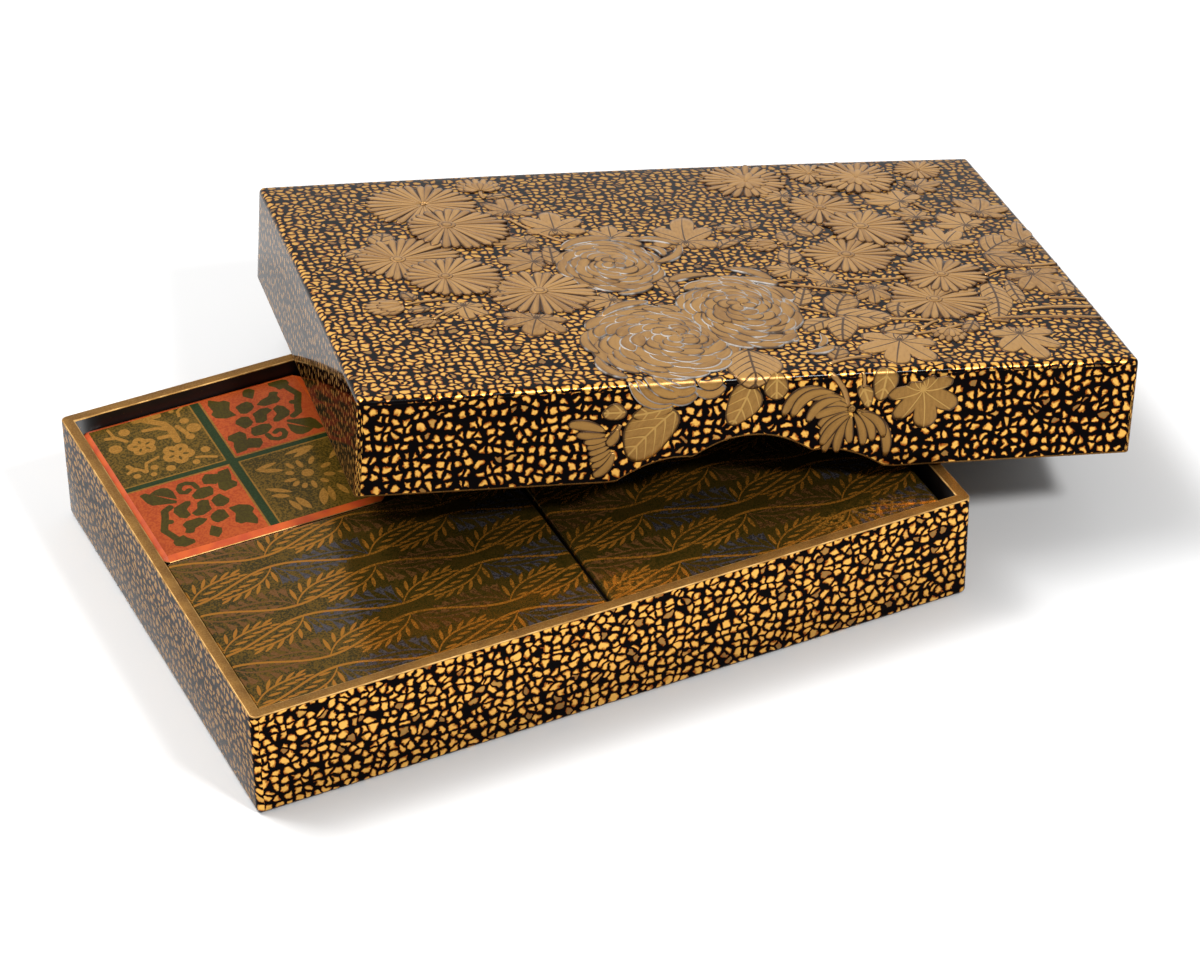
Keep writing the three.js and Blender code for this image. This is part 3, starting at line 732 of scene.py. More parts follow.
def make_willow(name):
    """Olive gold ground, gold stems and leaves, pewter and brown sprays, patches rubbed to bare gold."""
    material, tree, shader = new_material(name, IOR=1.3, Roughness=0.2)
    ground = powder(tree, WILLOW_GROUND, WILLOW_GRAIN)
    gold = powder(tree, WILLOW_GOLD_DEEP, WILLOW_GOLD)
    brown = calc(tree, "MULTIPLY", painted(tree, "brown_spray"), 0.8)
    tone = blend_colour(tree, brown, ground["Color"], BROWN_SPRAY)
    tone = blend_colour(tree, painted(tree, "pewter_spray"), tone, PEWTER)
    leaves = painted(tree, "gold_leaves")
    for row in range(2):
        away = calc(tree, "ABSOLUTE", attribute(tree, f"stem_{row}"))
        leaves = calc(tree, "MAXIMUM", leaves, ramp(tree, away, 0.28, 0.18))
    tone = blend_colour(tree, leaves, tone, gold["Color"])
    bare = ramp(tree, speckle(tree, place_on(tree), 1300.0, 3.0), 0.45, 0.62)
    rubbed = calc(tree, "MULTIPLY", attribute(tree, "rubbed"), bare)
    tone = blend_colour(tree, rubbed, tone, WILLOW_GOLD)
    link(tree, tone, shader["Base Color"])
    link(tree, calc(tree, "MULTIPLY_ADD", ground["Grains"], 0.35, 0.5), shader["Metallic"])
    return material


willow_top = make_willow("willow_top")
PAINTED, BLACK = range(2)
for side, low_point in (("left", -42.0), ("right", 13.2)):
    low, high = (np.array(corner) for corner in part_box(f"willow_box_{side}_lid"))
    x_lines = spaced(low[0] + WILLOW_EDGE, high[0] - WILLOW_EDGE, PAINT_STEP)
    y_lines = spaced(low[1] + WILLOW_EDGE, high[1] - WILLOW_EDGE, PAINT_STEP)
    profile = ([(LID_WALL, high[2] - LID_CEILING), (LID_WALL, low[2]), (0.0, low[2])]
               + quarter_round((WILLOW_EDGE, high[2] - WILLOW_EDGE), WILLOW_EDGE, 180, 90, 4))
    points, walls, top, index = lid_shape(x_lines, y_lines, WILLOW_EDGE, 3, profile)
    x, y = points[:, 0] / MM, points[:, 1] / MM
    paint = willow_paint(x, y, low_point)
    paint["rubbed"] = sum(np.exp(-((x - patch_x) / size) ** 2 - ((y - patch_y) / 2) ** 2)
                          for patch_x, patch_y, size in RUBBED_PATCHES)
    bands = np.repeat([BLACK] * 3 + [PAINTED] * 4, index.shape[1])
    lid = make_piece(f"willow_lid_{side}", points, lid_faces(walls, top, index[0]),
                     [willow_top, box_black],
                     np.r_[bands, np.full(len(top), PAINTED), BLACK], values=paint)
    fit_in(lid, f"willow_box_{side}_lid")


# The cover: a deep lid that fits over the whole tray, here lifted off and leaning on the tray's rims. It
# is lacquered like the tray, its top is slightly domed, and each long side has a scalloped finger cut.
COVER_HALF = np.array([60.6, 42.2])
COVER_HEIGHT, COVER_WALL, COVER_THICK, COVER_EDGE = 15.7, 1.8, 2.0, 0.9
DOME_ALONG, DOME_ACROSS = 0.5, 0.3
LEAN_ROLL, LEAN_PITCH, LEAN_YAW = np.radians([-9.27, 8.33, -11.07])
LEAN_PLACE = np.array([36.7, 15.9, 14.509])
CUT_HALF, CUT_CUSP, CUT_CUSP_HEIGHT, CUT_HEIGHT = 20.8, 9.3, 3.3, 6.3
INNER_ROUND, EDGE_ROUND, GOLD_LINE = 1.0, 0.2, 0.12
EDGE_FIRST, EDGE_LAST = 4, 11
COVER_STEP, CUT_STEP = 1.5, 0.4


def turn_about(axis, angle):
    """The turn by this angle about X, Y or Z, as a matrix."""
    return np.array(Matrix.Rotation(angle, 3, axis))


LEAN_TURN = turn_about("X", LEAN_ROLL) @ turn_about("Y", LEAN_PITCH) @ turn_about("Z", LEAN_YAW)


def set_down(points):
    """From the cover's own frame in mm, its lower edge level, to where it leans, in metres."""
    return (np.asarray(points) @ LEAN_TURN.T + LEAN_PLACE) * MM


def dome(x, y):
    """How far the top rises above the height of its corners."""
    return DOME_ALONG * (1 - (x / COVER_HALF[0]) ** 2) + DOME_ACROSS * (1 - (y / COVER_HALF[1]) ** 2)


def bezier(corners, share):
    """A cubic curve drawn by four corner points."""
    weights = [(1 - share) ** 3, 3 * share * (1 - share) ** 2, 3 * share ** 2 * (1 - share), share ** 3]
    return sum(weight[:, None] * np.array(corner) for weight, corner in zip(weights, corners))


def finger_cut(x):
    """Height of the cover's lower edge: two curves rise to a cusp and then to the middle of the cut."""
    share = np.linspace(0, 1, 41)
    pull = (CUT_HALF - CUT_CUSP) / 3
    side = bezier([(CUT_HALF, 0.0), (CUT_HALF - pull, 0.75 * CUT_CUSP_HEIGHT),
                   (CUT_CUSP + pull, CUT_CUSP_HEIGHT + 0.5), (CUT_CUSP, CUT_CUSP_HEIGHT)], share)
    middle = bezier([(CUT_CUSP, CUT_CUSP_HEIGHT), (0.75 * CUT_CUSP, 4.5), (0.5 * CUT_CUSP, CUT_HEIGHT),
                     (0.0, CUT_HEIGHT)], share)
    outline = np.concatenate([side, middle[1:]])[::-1]
    return np.interp(np.abs(x), outline[:, 0], outline[:, 1])


def cut_edges(rings, path):
    """Raise the rings of the lower edge along the finger cuts, on the two long walls."""
    on_long_wall = np.abs(path[1][:, 1]) > 0.99
    lift = np.where(on_long_wall, finger_cut(rings[EDGE_FIRST, :, 0]), 0.0)
    rings[EDGE_FIRST:EDGE_LAST + 1, :, 2] += lift
    return rings


flat = COVER_HALF - COVER_EDGE
cut_lines = np.r_[spaced(-CUT_HALF, CUT_HALF, CUT_STEP), -CUT_CUSP, CUT_CUSP]
x_lines = np.unique(np.r_[spaced(-flat[0], flat[0], COVER_STEP), cut_lines].round(6))
y_lines = spaced(-flat[1], flat[1], COVER_STEP)
ceiling = COVER_HEIGHT - COVER_THICK
cover_profile = (
    quarter_round((COVER_WALL + INNER_ROUND, ceiling - INNER_ROUND), INNER_ROUND, 90, 180, 3)
    + [(COVER_WALL, GOLD_LINE + EDGE_ROUND)]
    + quarter_round((COVER_WALL - EDGE_ROUND, EDGE_ROUND), EDGE_ROUND, 0, -90, 2)
    + quarter_round((EDGE_ROUND, EDGE_ROUND), EDGE_ROUND, 270, 180, 2)
    + [(0.0, GOLD_LINE + EDGE_ROUND)]
    + quarter_round((COVER_EDGE, COVER_HEIGHT - COVER_EDGE), COVER_EDGE, 180, 90, 6)
)
points, walls, top, index = lid_shape(x_lines, y_lines, COVER_EDGE, 6, cover_profile, cut_edges)
over = np.clip(points[:, :2], -flat, flat)
points[:, 2] += dome(over[:, 0], over[:, 1]) * np.clip(points[:, 2] / COVER_HEIGHT, 0, 1)
beyond = points[:, :2] - over
reach = np.linalg.norm(beyond, axis=1)
bent = np.clip(reach / COVER_EDGE, 0, 1)
facing = beyond / np.maximum(reach, 1e-9)[:, None]
down_wall = np.maximum(COVER_HEIGHT - COVER_EDGE - points[:, 2], 0) * (bent > 0.99)
down = COVER_EDGE * np.arcsin(bent) + down_wall
unfolded = (over + facing * down[:, None]) * MM
cover_materials = [make_flake_lacquer("cover_wall_flakes", per_metre=635.0, gap=0.142),
                   make_dusted_black("cover_inside", dust=0.03), rim_gold,
                   make_flake_lacquer("cover_top_flakes", per_metre=710.0, gap=0.082, gloss=1.18)]
WALL, INSIDE, RIM, TOP = range(4)
faces = lid_faces(walls, top, index[0])
bands = np.repeat([INSIDE] * 4 + [RIM] * 7 + [WALL] + [TOP] * 6, index.shape[1])
cover = make_piece("cover_shell", set_down(points), faces, cover_materials,
                   np.r_[bands, np.full(len(top), TOP), INSIDE], unfolded[np.concatenate(faces)])
fit_in(cover, "cover")


# The open chrysanthemums on the cover: rays of narrow petals round a small button, modelled one by one in
# lacquer paste on the flat ground, then covered with gold powder, lighter on the ridges and darker towards
# the outlines as painted shade.
RAY_HEIGHT, RAY_BASE, RAY_LAYER = 0.09, 0.10, 0.13
RAY_STATIONS = 12
SINK = 0.12
RELIEF_GOLD, RELIEF_DEEP = (0.45, 0.243, 0.073, 1.0), (0.25, 0.119, 0.029, 1.0)
# The dark of the lines round and between raised shapes and of the dark veins: dark lacquer, partly painted
# shade.
GROOVE_DARK_AND_SHADE = (0.040, 0.016, 0.006, 1.0)
LINE_SHARE, LINE_WIDTH = 0.30, 0.32
PETAL_STROKES = 4.0
dice = np.random.default_rng(12)


def drape(u, v, height):
    """Lay a flat drawing on the cover: over its domed top, round the edge and straight down its walls.

    u and v are lengths along the surface from the middle of the top, height stands off the surface.
    """
    top_x, top_y = np.clip(u, -flat[0], flat[0]), np.clip(v, -flat[1], flat[1])
    run_x, run_y = np.abs(u - top_x), np.abs(v - top_y)
    bend_x, bend_y = np.minimum(run_x / COVER_EDGE, np.pi / 2), np.minimum(run_y / COVER_EDGE, np.pi / 2)
    normal = np.stack([np.sign(u) * np.sin(bend_x), np.sign(v) * np.sin(bend_y) * np.cos(bend_x),
                       np.cos(bend_x) * np.cos(bend_y)], -1)
    fall = np.maximum(run_x - COVER_EDGE * np.pi / 2, 0) + np.maximum(run_y - COVER_EDGE * np.pi / 2, 0)
    level = COVER_HEIGHT + dome(top_x, top_y) - COVER_EDGE
    middle = np.stack([top_x, top_y, level - fall], -1)
    return middle + normal * (COVER_EDGE + height)[..., None]


def columns_across(count):
    """Places across a raised shape from -1 to 1, closer at its edges, the outermost two sunk in."""
    return np.r_[-1.0, 0.97 * np.sin(np.pi / 2 * np.linspace(-1, 1, count)), 1.0]


def length_shares(steps):
    """Shares of a raised shape's length where its stations lie, just short of both ends."""
    return np.linspace(0.012, 0.988, steps)


def raised(root, tip, half_width, share, shape, height, lift, bend=0.0):
    """Many raised shapes at once, each a closed loft along a bowed middle line from its root to its tip.

    Its width at each station is half_width times share, its height is lift plus height times shape. Gives
    points by shape, station and column, and how far inside each lies, in widths of the line round it.
    """
    root, tip = np.atleast_2d(root).astype(float), np.atleast_2d(tip).astype(float)
    across = columns_across(shape.shape[1] - 2)
    half_width, bend, height, lift = (np.broadcast_to(value, len(root))[:, None, None]
                                      for value in (half_width, bend, height, lift))
    t = length_shares(len(share))[None, :, None]
    way = tip - root
    length = np.linalg.norm(way, axis=1)[:, None, None]
    way = way[:, None, None] / length[..., None]
    side = np.stack([-way[..., 1], way[..., 0]], -1)
    bowed = side * (4 * bend * t * (1 - t))[..., None]
    middle = root[:, None, None] + way * (length * t)[..., None] + bowed
    tangent = way + side * (4 * bend * (1 - 2 * t) / length)[..., None]
    tangent = tangent / np.linalg.norm(tangent, axis=-1, keepdims=True)
    square = np.stack([-tangent[..., 1], tangent[..., 0]], -1)
    width = half_width * share[None, :, None]
    drawn = middle + square * (width * across)[..., None]
    stand = np.where(np.abs(across) > 0.99, -SINK, lift + height * shape[None])
    from_side = width * np.maximum(0.97 - np.abs(across), 0) / np.minimum(LINE_SHARE * width, LINE_WIDTH)
    inside = np.minimum(from_side, (1 - t) * length / LINE_WIDTH)
    return drape(drawn[..., 0], drawn[..., 1], np.broadcast_to(stand, drawn.shape[:3])), inside


def petal_share(steps, belly, blunt):
    """Half width of a petal along its length: a half wave, pushed towards the tip and made blunt."""
    t = length_shares(steps)
    return np.sin(np.pi * t ** belly) ** blunt


def wedge_share(steps, start, full):
    """Half width of a ray petal: growing on the way out until it is full, then rounded off."""
    t = length_shares(steps)
    return (start + (1 - start) * t) * np.sqrt(1 - np.clip((t - full) / (1 - full), 0, 1) ** 2)


def ridge_shape(steps, columns, fall, dip=1.0):
    """Height of a petal: an arch that falls by the dip to its sides, low at root and tip."""
    t = length_shares(steps)[:, None]
    arch = 1 - dip * np.abs(columns_across(columns)) ** 3
    return arch[None] * (0.45 + 0.55 * np.minimum(t / 0.35, 1)) * (1 - fall * t ** 5)


def strip_uv(count, stations, columns):
    """For each point of some shapes its place across and along its shape, from 0 to 1."""
    u, v = np.meshgrid((columns_across(columns - 2) + 1) / 2, np.linspace(0, 1, stations))
    return np.tile(np.stack([u, v], -1).reshape(-1, 2), (count, 1))


def lay_relief(name, batches, materials, uv=None, values=None):
    """One piece from batches of raised shapes: closed lofts with capped ends.

    Each point keeps how far inside the outline it lies, and a number by chance for its shape's tone.
    """
    points, faces, strips, tone, inside, index, first = [], [], [], [], [], [], 0
    for (rows, edge), material in batches:
        count, stations, columns = rows.shape[:3]
        offset = first + np.arange(count)[:, None, None] * stations * columns
        sides = (offset + grid_faces(stations, columns, True)[None, :, ::-1]).reshape(-1, 4)
        ends = np.stack([np.arange(columns), (stations - 1) * columns + np.arange(columns)[::-1]])
        ends = (offset + ends[None]).reshape(-1, columns)
        faces += sides.tolist() + ends.tolist()
        index += [material] * (len(sides) + len(ends))
        points.append(set_down(rows.reshape(-1, 3)))
        strips.append(strip_uv(count, stations, columns))
        inside.append(np.broadcast_to(edge, rows.shape[:3]).ravel())
        tone.append(np.repeat(dice.random(count), stations * columns))
        first += count * stations * columns
    corner_uv = (np.concatenate(strips) if uv is None else uv)[np.concatenate(faces)]
    kept = {"tone": np.concatenate(tone), "inside": np.concatenate(inside), **(values or {})}
    piece = make_piece(name, np.concatenate(points), faces, materials, index, corner_uv, kept)
    fit_in(piece, "cover")


def make_brushed_gold():
    """Powder gold on a raised shape: fine strokes along it, and a mask of the line round its outline."""
    tree, given, made = group_of(
        "brushed_gold",
        [("Strokes", "NodeSocketFloat"), ("Deep", "NodeSocketColor"), ("Gold", "NodeSocketColor")],
        [("Color", "NodeSocketColor"), ("Line", "NodeSocketFloat"), ("Height", "NodeSocketFloat"),
         ("Roughness", "NodeSocketFloat")],
    )
    place = node(tree, "ShaderNodeTexCoord").outputs
    across = node(tree, "ShaderNodeSeparateXYZ", {"Vector": place["UV"]}).outputs
    tone = attribute(tree, "tone")
    lane = node(tree, "ShaderNodeCombineXYZ", {
        "X": calc(tree, "MULTIPLY", across["X"], given["Strokes"]),
        "Y": calc(tree, "MULTIPLY", across["Y"], 2.2),
        "Z": calc(tree, "MULTIPLY", tone, 90.0)}).outputs[0]
    stroke = speckle(tree, lane, 1.0, 2.0)
    grain = speckle(tree, place["Object"], 4200.0, 2.0)
    bright = calc(tree, "MULTIPLY_ADD", tone, 0.4, calc(tree, "MULTIPLY_ADD", stroke, 0.9, -0.35))
    bright = calc(tree, "ADD", bright, calc(tree, "MULTIPLY_ADD", grain, 0.6, -0.3))
    within = attribute(tree, "inside")
    # Painted shade: the gold darkens towards each raised shape's outline, as if shaded at its sides.
    bright = calc(tree, "SUBTRACT", bright, ramp(tree, within, 2.2, 0.8, 0.0, 0.32))
    shine = ramp(tree, bright, -0.3, 0.6)
    link(tree, blend_colour(tree, shine, given["Deep"], given["Gold"]), made["Color"])
    link(tree, ramp(tree, within, 1.0, 0.6), made["Line"])
    link(tree, stroke, made["Height"])
    link(tree, calc(tree, "MULTIPLY_ADD", grain, 0.2, 0.27), made["Roughness"])
    return tree


def place_gold(tree, strokes, deep=RELIEF_DEEP, gold=RELIEF_GOLD):
    """The brushed gold group placed in a material with its own strokes and two tones."""
    feeds = {"Strokes": strokes, "Deep": deep, "Gold": gold}
    return node(tree, "ShaderNodeGroup", feeds, node_tree=brushed_gold).outputs


def make_petal_gold(name, strokes, *tones):
    """Gold for petals and stems, dark in the line between them: dark lacquer with painted shade."""
    material, tree, shader = new_material(name, Metallic=0.6)
    gold = place_gold(tree, strokes, *tones)
    groove = calc(tree, "MULTIPLY", gold["Line"], 0.9)
    link(tree, blend_colour(tree, groove, gold["Color"], GROOVE_DARK_AND_SHADE), shader["Base Color"])
    link(tree, gold["Roughness"], shader["Roughness"])
    add_bump(tree, shader, gold["Height"], 0.04 * MM, 0.4)
    return material


def ray_flower(middle, outline, reach, petals, lift, uneven, inner):
    """Petals of one open flower, from its middle out to a circle that need not lie evenly round it.

    Uneven flowers have longer and shorter, more pointed petals, and some a round of short ones within.
    """
    middle, outline = np.array(middle), np.array(outline)
    angle = 2 * np.pi * (np.arange(petals) + dice.uniform(-0.16, 0.16, petals)) / petals
    way = heading(angle)
    half_width = np.pi * reach / petals
    layer = lift + RAY_BASE + 0.035 * (np.arange(petals) % 2)
    length = reach * dice.uniform(0.84 if uneven else 0.95, 1.04, petals)[:, None]
    share = wedge_share(RAY_STATIONS, 0.2, 0.62 if uneven else 0.8)
    shape = ridge_shape(RAY_STATIONS, 5, 0.4)
    root, tip = middle + 0.05 * reach * way, outline + length * way
    rows = [raised(root, tip, half_width, share, shape, RAY_HEIGHT, layer),
            ground_disc(outline, (0.8 * reach, 0.8 * reach), lift)]
    if inner:
        between = heading(angle + np.pi / petals)[::2]
        root = np.tile(middle, (len(between), 1))
        rows.append(raised(root, middle + 0.55 * length[::2] * between, 0.9 * half_width,
                           petal_share(RAY_STATIONS, 1.3, 0.7), shape, RAY_HEIGHT, layer[::2] + 0.08))
    return rows


def domed(middle, radius, lift, out, rise, edge):
    """A loft of rings: their shares of the radius, their heights and how far inside a line they lie."""
    angle = np.linspace(0, 2 * np.pi, 24, endpoint=False)
    out, rise, edge = (np.repeat(np.array(value)[:, None], len(angle), 1) for value in (out, rise, edge))
    u, v = middle[0] + radius[0] * out * np.cos(angle), middle[1] + radius[1] * out * np.sin(angle)
    return drape(u, v, rise + lift)[None], edge[None]


def button(middle, radius, lift):
    """The button in a flower's middle: a low dome with a line round it and another halfway in."""
    out = [0.1, 0.34, 0.46, 0.54, 0.62, 0.82, 1.0, 1.0]
    rise = [0.3, 0.3, 0.28, 0.25, 0.27, 0.25, 0.18, -SINK - lift]
    return domed(middle, (radius, radius), lift, out, rise, [3.0, 2.0, 1.2, 0.2, 1.2, 1.6, 0.0, 0.0])


def ground_disc(middle, radius, lift):
    """The dark ground that shows between a flower's petals: dark lacquer with painted shade."""
    return domed(middle, radius, lift, [0.1, 0.6, 1.0, 1.0], [0.06, 0.06, 0.05, -SINK - lift], [0.0] * 4)


RAY_FLOWERS = [
    # middle, middle of the outline, reach, petals, layer, button radius, uneven, inner round
    ((-35.8, 30.2), (-36.2, 29.7), 9.1, 31, 0, 0.45, False, False),
    ((-34.0, 20.6), (-32.4, 19.0), 8.4, 28, 1, 1.5, False, False),
    ((-44.5, 8.0), (-42.8, 8.0), 8.6, 29, 0, 1.3, False, False),
    ((-38.6, 0.0), (-37.2, -0.2), 7.6, 26, 1, 1.2, False, False),
    ((-25.3, -7.2), (-25.0, -8.0), 8.4, 26, 0, 1.4, False, False),
    ((19.3, 34.0), (19.0, 34.0), 7.6, 25, 0, 0.45, True, True),
    ((31.0, 36.6), (31.0, 36.6), 4.6, 19, 0, 0.45, True, False),
    ((38.3, 33.8), (38.3, 33.8), 7.4, 25, 1, 0.45, True, True),
    ((50.0, 36.8), (50.0, 36.8), 4.6, 19, 0, 0.45, True, False),
    ((28.3, 21.3), (28.8, 20.8), 6.8, 23, 0, 1.1, True, False),
    ((32.6, 12.5), (34.0, 11.8), 7.7, 24, 1, 1.4, True, False),
    ((26.8, 1.3), (27.5, 1.0), 7.9, 25, 0, 1.4, True, False),
    ((39.6, -8.2), (39.8, -8.2), 7.4, 24, 1, 1.2, True, False),
    ((35.5, -17.5), (36.2, -17.6), 8.4, 26, 0, 1.3, True, False),
]
brushed_gold = make_brushed_gold()
ray_gold = make_petal_gold("ray_gold", PETAL_STROKES)
batches = []
for middle, outline, reach, petals, layer, button_radius, uneven, inner in RAY_FLOWERS:
    lift = layer * RAY_LAYER
    batches += [(rows, 0) for rows in ray_flower(middle, outline, reach, petals, lift, uneven, inner)]
    batches.append((button(middle, button_radius, lift), 0))
lay_relief("cover_ray_flowers", batches, [ray_gold])


# The full chrysanthemums at the middle: rounds of long petals that close over one another, outlined in
# silver here and there. The front one spills over the cover's edge, and petals curl loose beside them.
FULL_HEIGHT, FULL_STEP, FULL_DIP = 0.08, 0.045, 0.3
FULL_STATIONS = 13
FULL_DEEP, FULL_GOLD = (0.225, 0.104, 0.022, 1.0), (0.39, 0.204, 0.052, 1.0)
FULL_LINE, FULL_SILVER = (0.045, 0.029, 0.021, 1.0), (0.38, 0.355, 0.33, 1.0)


def along_front(x, z):
    """Where a point at this height on the front wall lies in the flat drawing."""
    level = COVER_HEIGHT + dome(x, -flat[1]) - COVER_EDGE
    return -flat[1] - COVER_EDGE * np.pi / 2 - (level - z)


def on_front(rows):
    """Shapes drawn on the front wall, from x and height to x and height, placed in the flat drawing."""
    return [(x0, along_front(x0, z0), x1, along_front(x1, z1), *rest) for x0, z0, x1, z1, *rest in rows]


def by_hand(rows, share, shape, height, lift):
    """Raised shapes drawn one by one: from x and y, to x and y, bow and half width."""
    rows = np.array(rows)
    return raised(rows[:, :2], rows[:, 2:4], rows[:, 5], share, shape, height, lift, rows[:, 4])


def full_flower(heart, middle, reach, rounds, lift):
    """Rounds of bowed petals from the outer edge in to the heart, each round higher than the last."""
    heart, middle, reach = np.array(heart), np.array(middle), np.array(reach)
    rows = []
    for i in range(rounds):
        out = 1 - i / rounds
        centre = heart * (1 - out) + middle * out
        radius = np.mean(reach) * out
        petals = max(4, int(np.round(2 * np.pi * radius / (2.2 + 3.2 * out))))
        half_turn = 1.5 * np.pi / petals
        angle = 2 * np.pi * (np.arange(petals) + 0.5 * (i % 2) + dice.uniform(-0.2, 0.2, petals)) / petals
        root = centre + reach * (out - 0.11) * heading(angle - half_turn)
        tip = centre + reach * (out + 0.05) * heading(angle + half_turn)
        bow = -radius * (1 - np.cos(half_turn)) * dice.uniform(0.9, 1.2, petals)
        layer = lift + RAY_BASE + FULL_STEP * i + 0.03 * (np.arange(petals) % 3)
        rows.append(raised(root, tip, np.mean(reach) / rounds, petal_share(FULL_STATIONS, 1.2, 0.7),
                           ridge_shape(FULL_STATIONS, 7, 0.1, FULL_DIP), FULL_HEIGHT, layer, bow))
    return rows


def bowed_petals(petals, lift):
    """Single petals drawn one by one, each three in a row rising by a step so that they overlap."""
    layer = lift + 0.035 * (np.arange(len(petals)) % 3)
    return by_hand(petals, petal_share(FULL_STATIONS, 1.35, 0.42),
                   ridge_shape(FULL_STATIONS, 7, 0.1, FULL_DIP), FULL_HEIGHT, layer)


def make_full_gold():
    """Gold for the full flowers, their outlines dark or worn to silver."""
    material, tree, shader = new_material("full_gold", Metallic=0.6)
    gold = place_gold(tree, PETAL_STROKES, FULL_DEEP, FULL_GOLD)
    worn = ramp(tree, speckle(tree, place_on(tree), 300.0, 3.0), 0.42, 0.62)
    line = blend_colour(tree, worn, FULL_LINE, FULL_SILVER)
    outline = calc(tree, "MULTIPLY", gold["Line"], 0.92)
    link(tree, blend_colour(tree, outline, gold["Color"], line), shader["Base Color"])
    link(tree, calc(tree, "MULTIPLY_ADD", gold["Line"], 0.25, gold["Roughness"]), shader["Roughness"])
    add_bump(tree, shader, gold["Height"], 0.04 * MM, 0.4)
    return material


FULL_FLOWERS = [
    # heart, middle of the outline, reach along x and y, rounds, lift
    ((-11.2, 1.5), (-12.0, 1.2), (7.6, 9.4), 7, 0.0),
    ((-8.0, -27.0), (-11.3, -28.0), (10.6, 12.6), 8, 0.0),
    ((4.3, -17.0), (3.5, -19.2), (8.2, 12.8), 8, 0.14),
]
CURLING_PETALS = [
    # from x and y, to x and y, bow, half width
    (-18.3, 8.0, -9.0, 11.6, 1.9, 1.3), (-9.5, 11.2, -5.2, 8.0, 1.0, 1.0),
    (-7.0, 10.4, 1.0, 7.6, 1.7, 0.9), (1.0, 8.6, -4.6, 1.2, 1.6, 0.9),
    (-4.8, 8.0, -2.6, 3.6, 1.2, 0.7), (-13.6, -10.2, -7.2, -7.4, -0.8, 0.7),
    (2.4, -4.6, -4.2, -6.4, -1.0, 1.2), (5.6, -2.4, 11.6, -8.2, 1.5, 1.2),
    (6.0, -6.6, 12.4, -9.6, 0.8, 1.0), (9.6, -9.8, 12.6, -16.0, 1.4, 1.2),
    (13.6, -28.6, 12.0, -33.4, 0.8, 0.6), (9.6, -35.0, 14.4, -33.2, -0.7, 0.9),
    (-21.6, -23.4, -21.8, -31.6, -1.2, 0.9), (-22.4, -32.6, -19.6, -40.4, -1.2, 1.1),
    (-18.0, -18.4, -9.6, -14.0, 1.4, 1.2), (-9.4, -38.2, -4.2, -35.6, -0.8, 1.2),
    (10.6, -24.0, 9.4, -31.0, -0.9, 1.1),
]
OVER_FRONT = [
    # the same on the front wall, by x and height
    (-19.8, 16.4, -12.6, 12.7, -1.6, 0.9), (-18.6, 16.8, -12.2, 13.3, -1.3, 0.9),
    (-17.2, 17.2, -11.8, 14.0, -1.0, 0.9), (-15.8, 17.4, -11.0, 14.8, -0.8, 0.9),
    (-14.4, 14.6, -9.2, 14.2, -1.3, 1.0), (-13.8, 15.6, -9.4, 15.2, -1.0, 0.9),
    (-13.2, 16.4, -9.6, 16.2, -0.8, 0.9), (-10.0, 15.0, -5.0, 15.2, -1.2, 1.0),
    (-9.4, 16.0, -5.4, 16.2, -0.9, 0.9),
]
batches = []
for heart, middle, reach, rounds, lift in FULL_FLOWERS:
    batches += [(rows, 0) for rows in full_flower(heart, middle, reach, rounds, lift)]
    batches.append((ground_disc(middle, 0.94 * np.array(reach), lift), 0))
batches.append((bowed_petals(CURLING_PETALS, 0.22), 0))
batches.append((bowed_petals(on_front(OVER_FRONT), 0.16), 0))
lay_relief("cover_full_flowers", batches, [make_full_gold()])


# Chrysanthemums seen from the side and opening buds: fans of petals out of a small leafy cup, raised and
# gilded like the rest. Two hang on the front wall, one of them large, beside the finger cut, in a darker
# gold that is painted shade.
SIDE_STATIONS = 10
# Painted shade: the relief on the front wall takes a darker copy of the gold.
FRONT_SHADED_DEEP, FRONT_SHADED_GOLD = (0.225, 0.108, 0.020, 1.0), (0.335, 0.172, 0.038, 1.0)
FRONT_HEART, FRONT_HEART_RADIUS = (15.0, 10.2), 0.6


def side_flower(cup, reach, turn, spread, petals, bow):
    """A fan of petals from the cup in two rounds, longest in the middle, bowed outwards at the sides."""
    rows = []
    for fewer, share, layer in ((0, 1.0, 0.0), (1, 0.7, 0.07)):
        step = np.linspace(-1, 1, petals - fewer)
        angle = np.radians(turn + spread * step)
        way = heading(angle)
        length = reach * share * (1 - 0.3 * step ** 2)
        root = np.array(cup) + 0.08 * reach * way
        tip = np.array(cup) + way * length[:, None]
        lift = RAY_BASE + layer + 0.03 * (np.arange(len(step)) % 2)
        rows.append(raised(root, tip, reach * 0.11, petal_share(SIDE_STATIONS, 1.7, 0.55),
                           ridge_shape(SIDE_STATIONS, 5, 0.3), RAY_HEIGHT, lift, bow * step))
    return rows


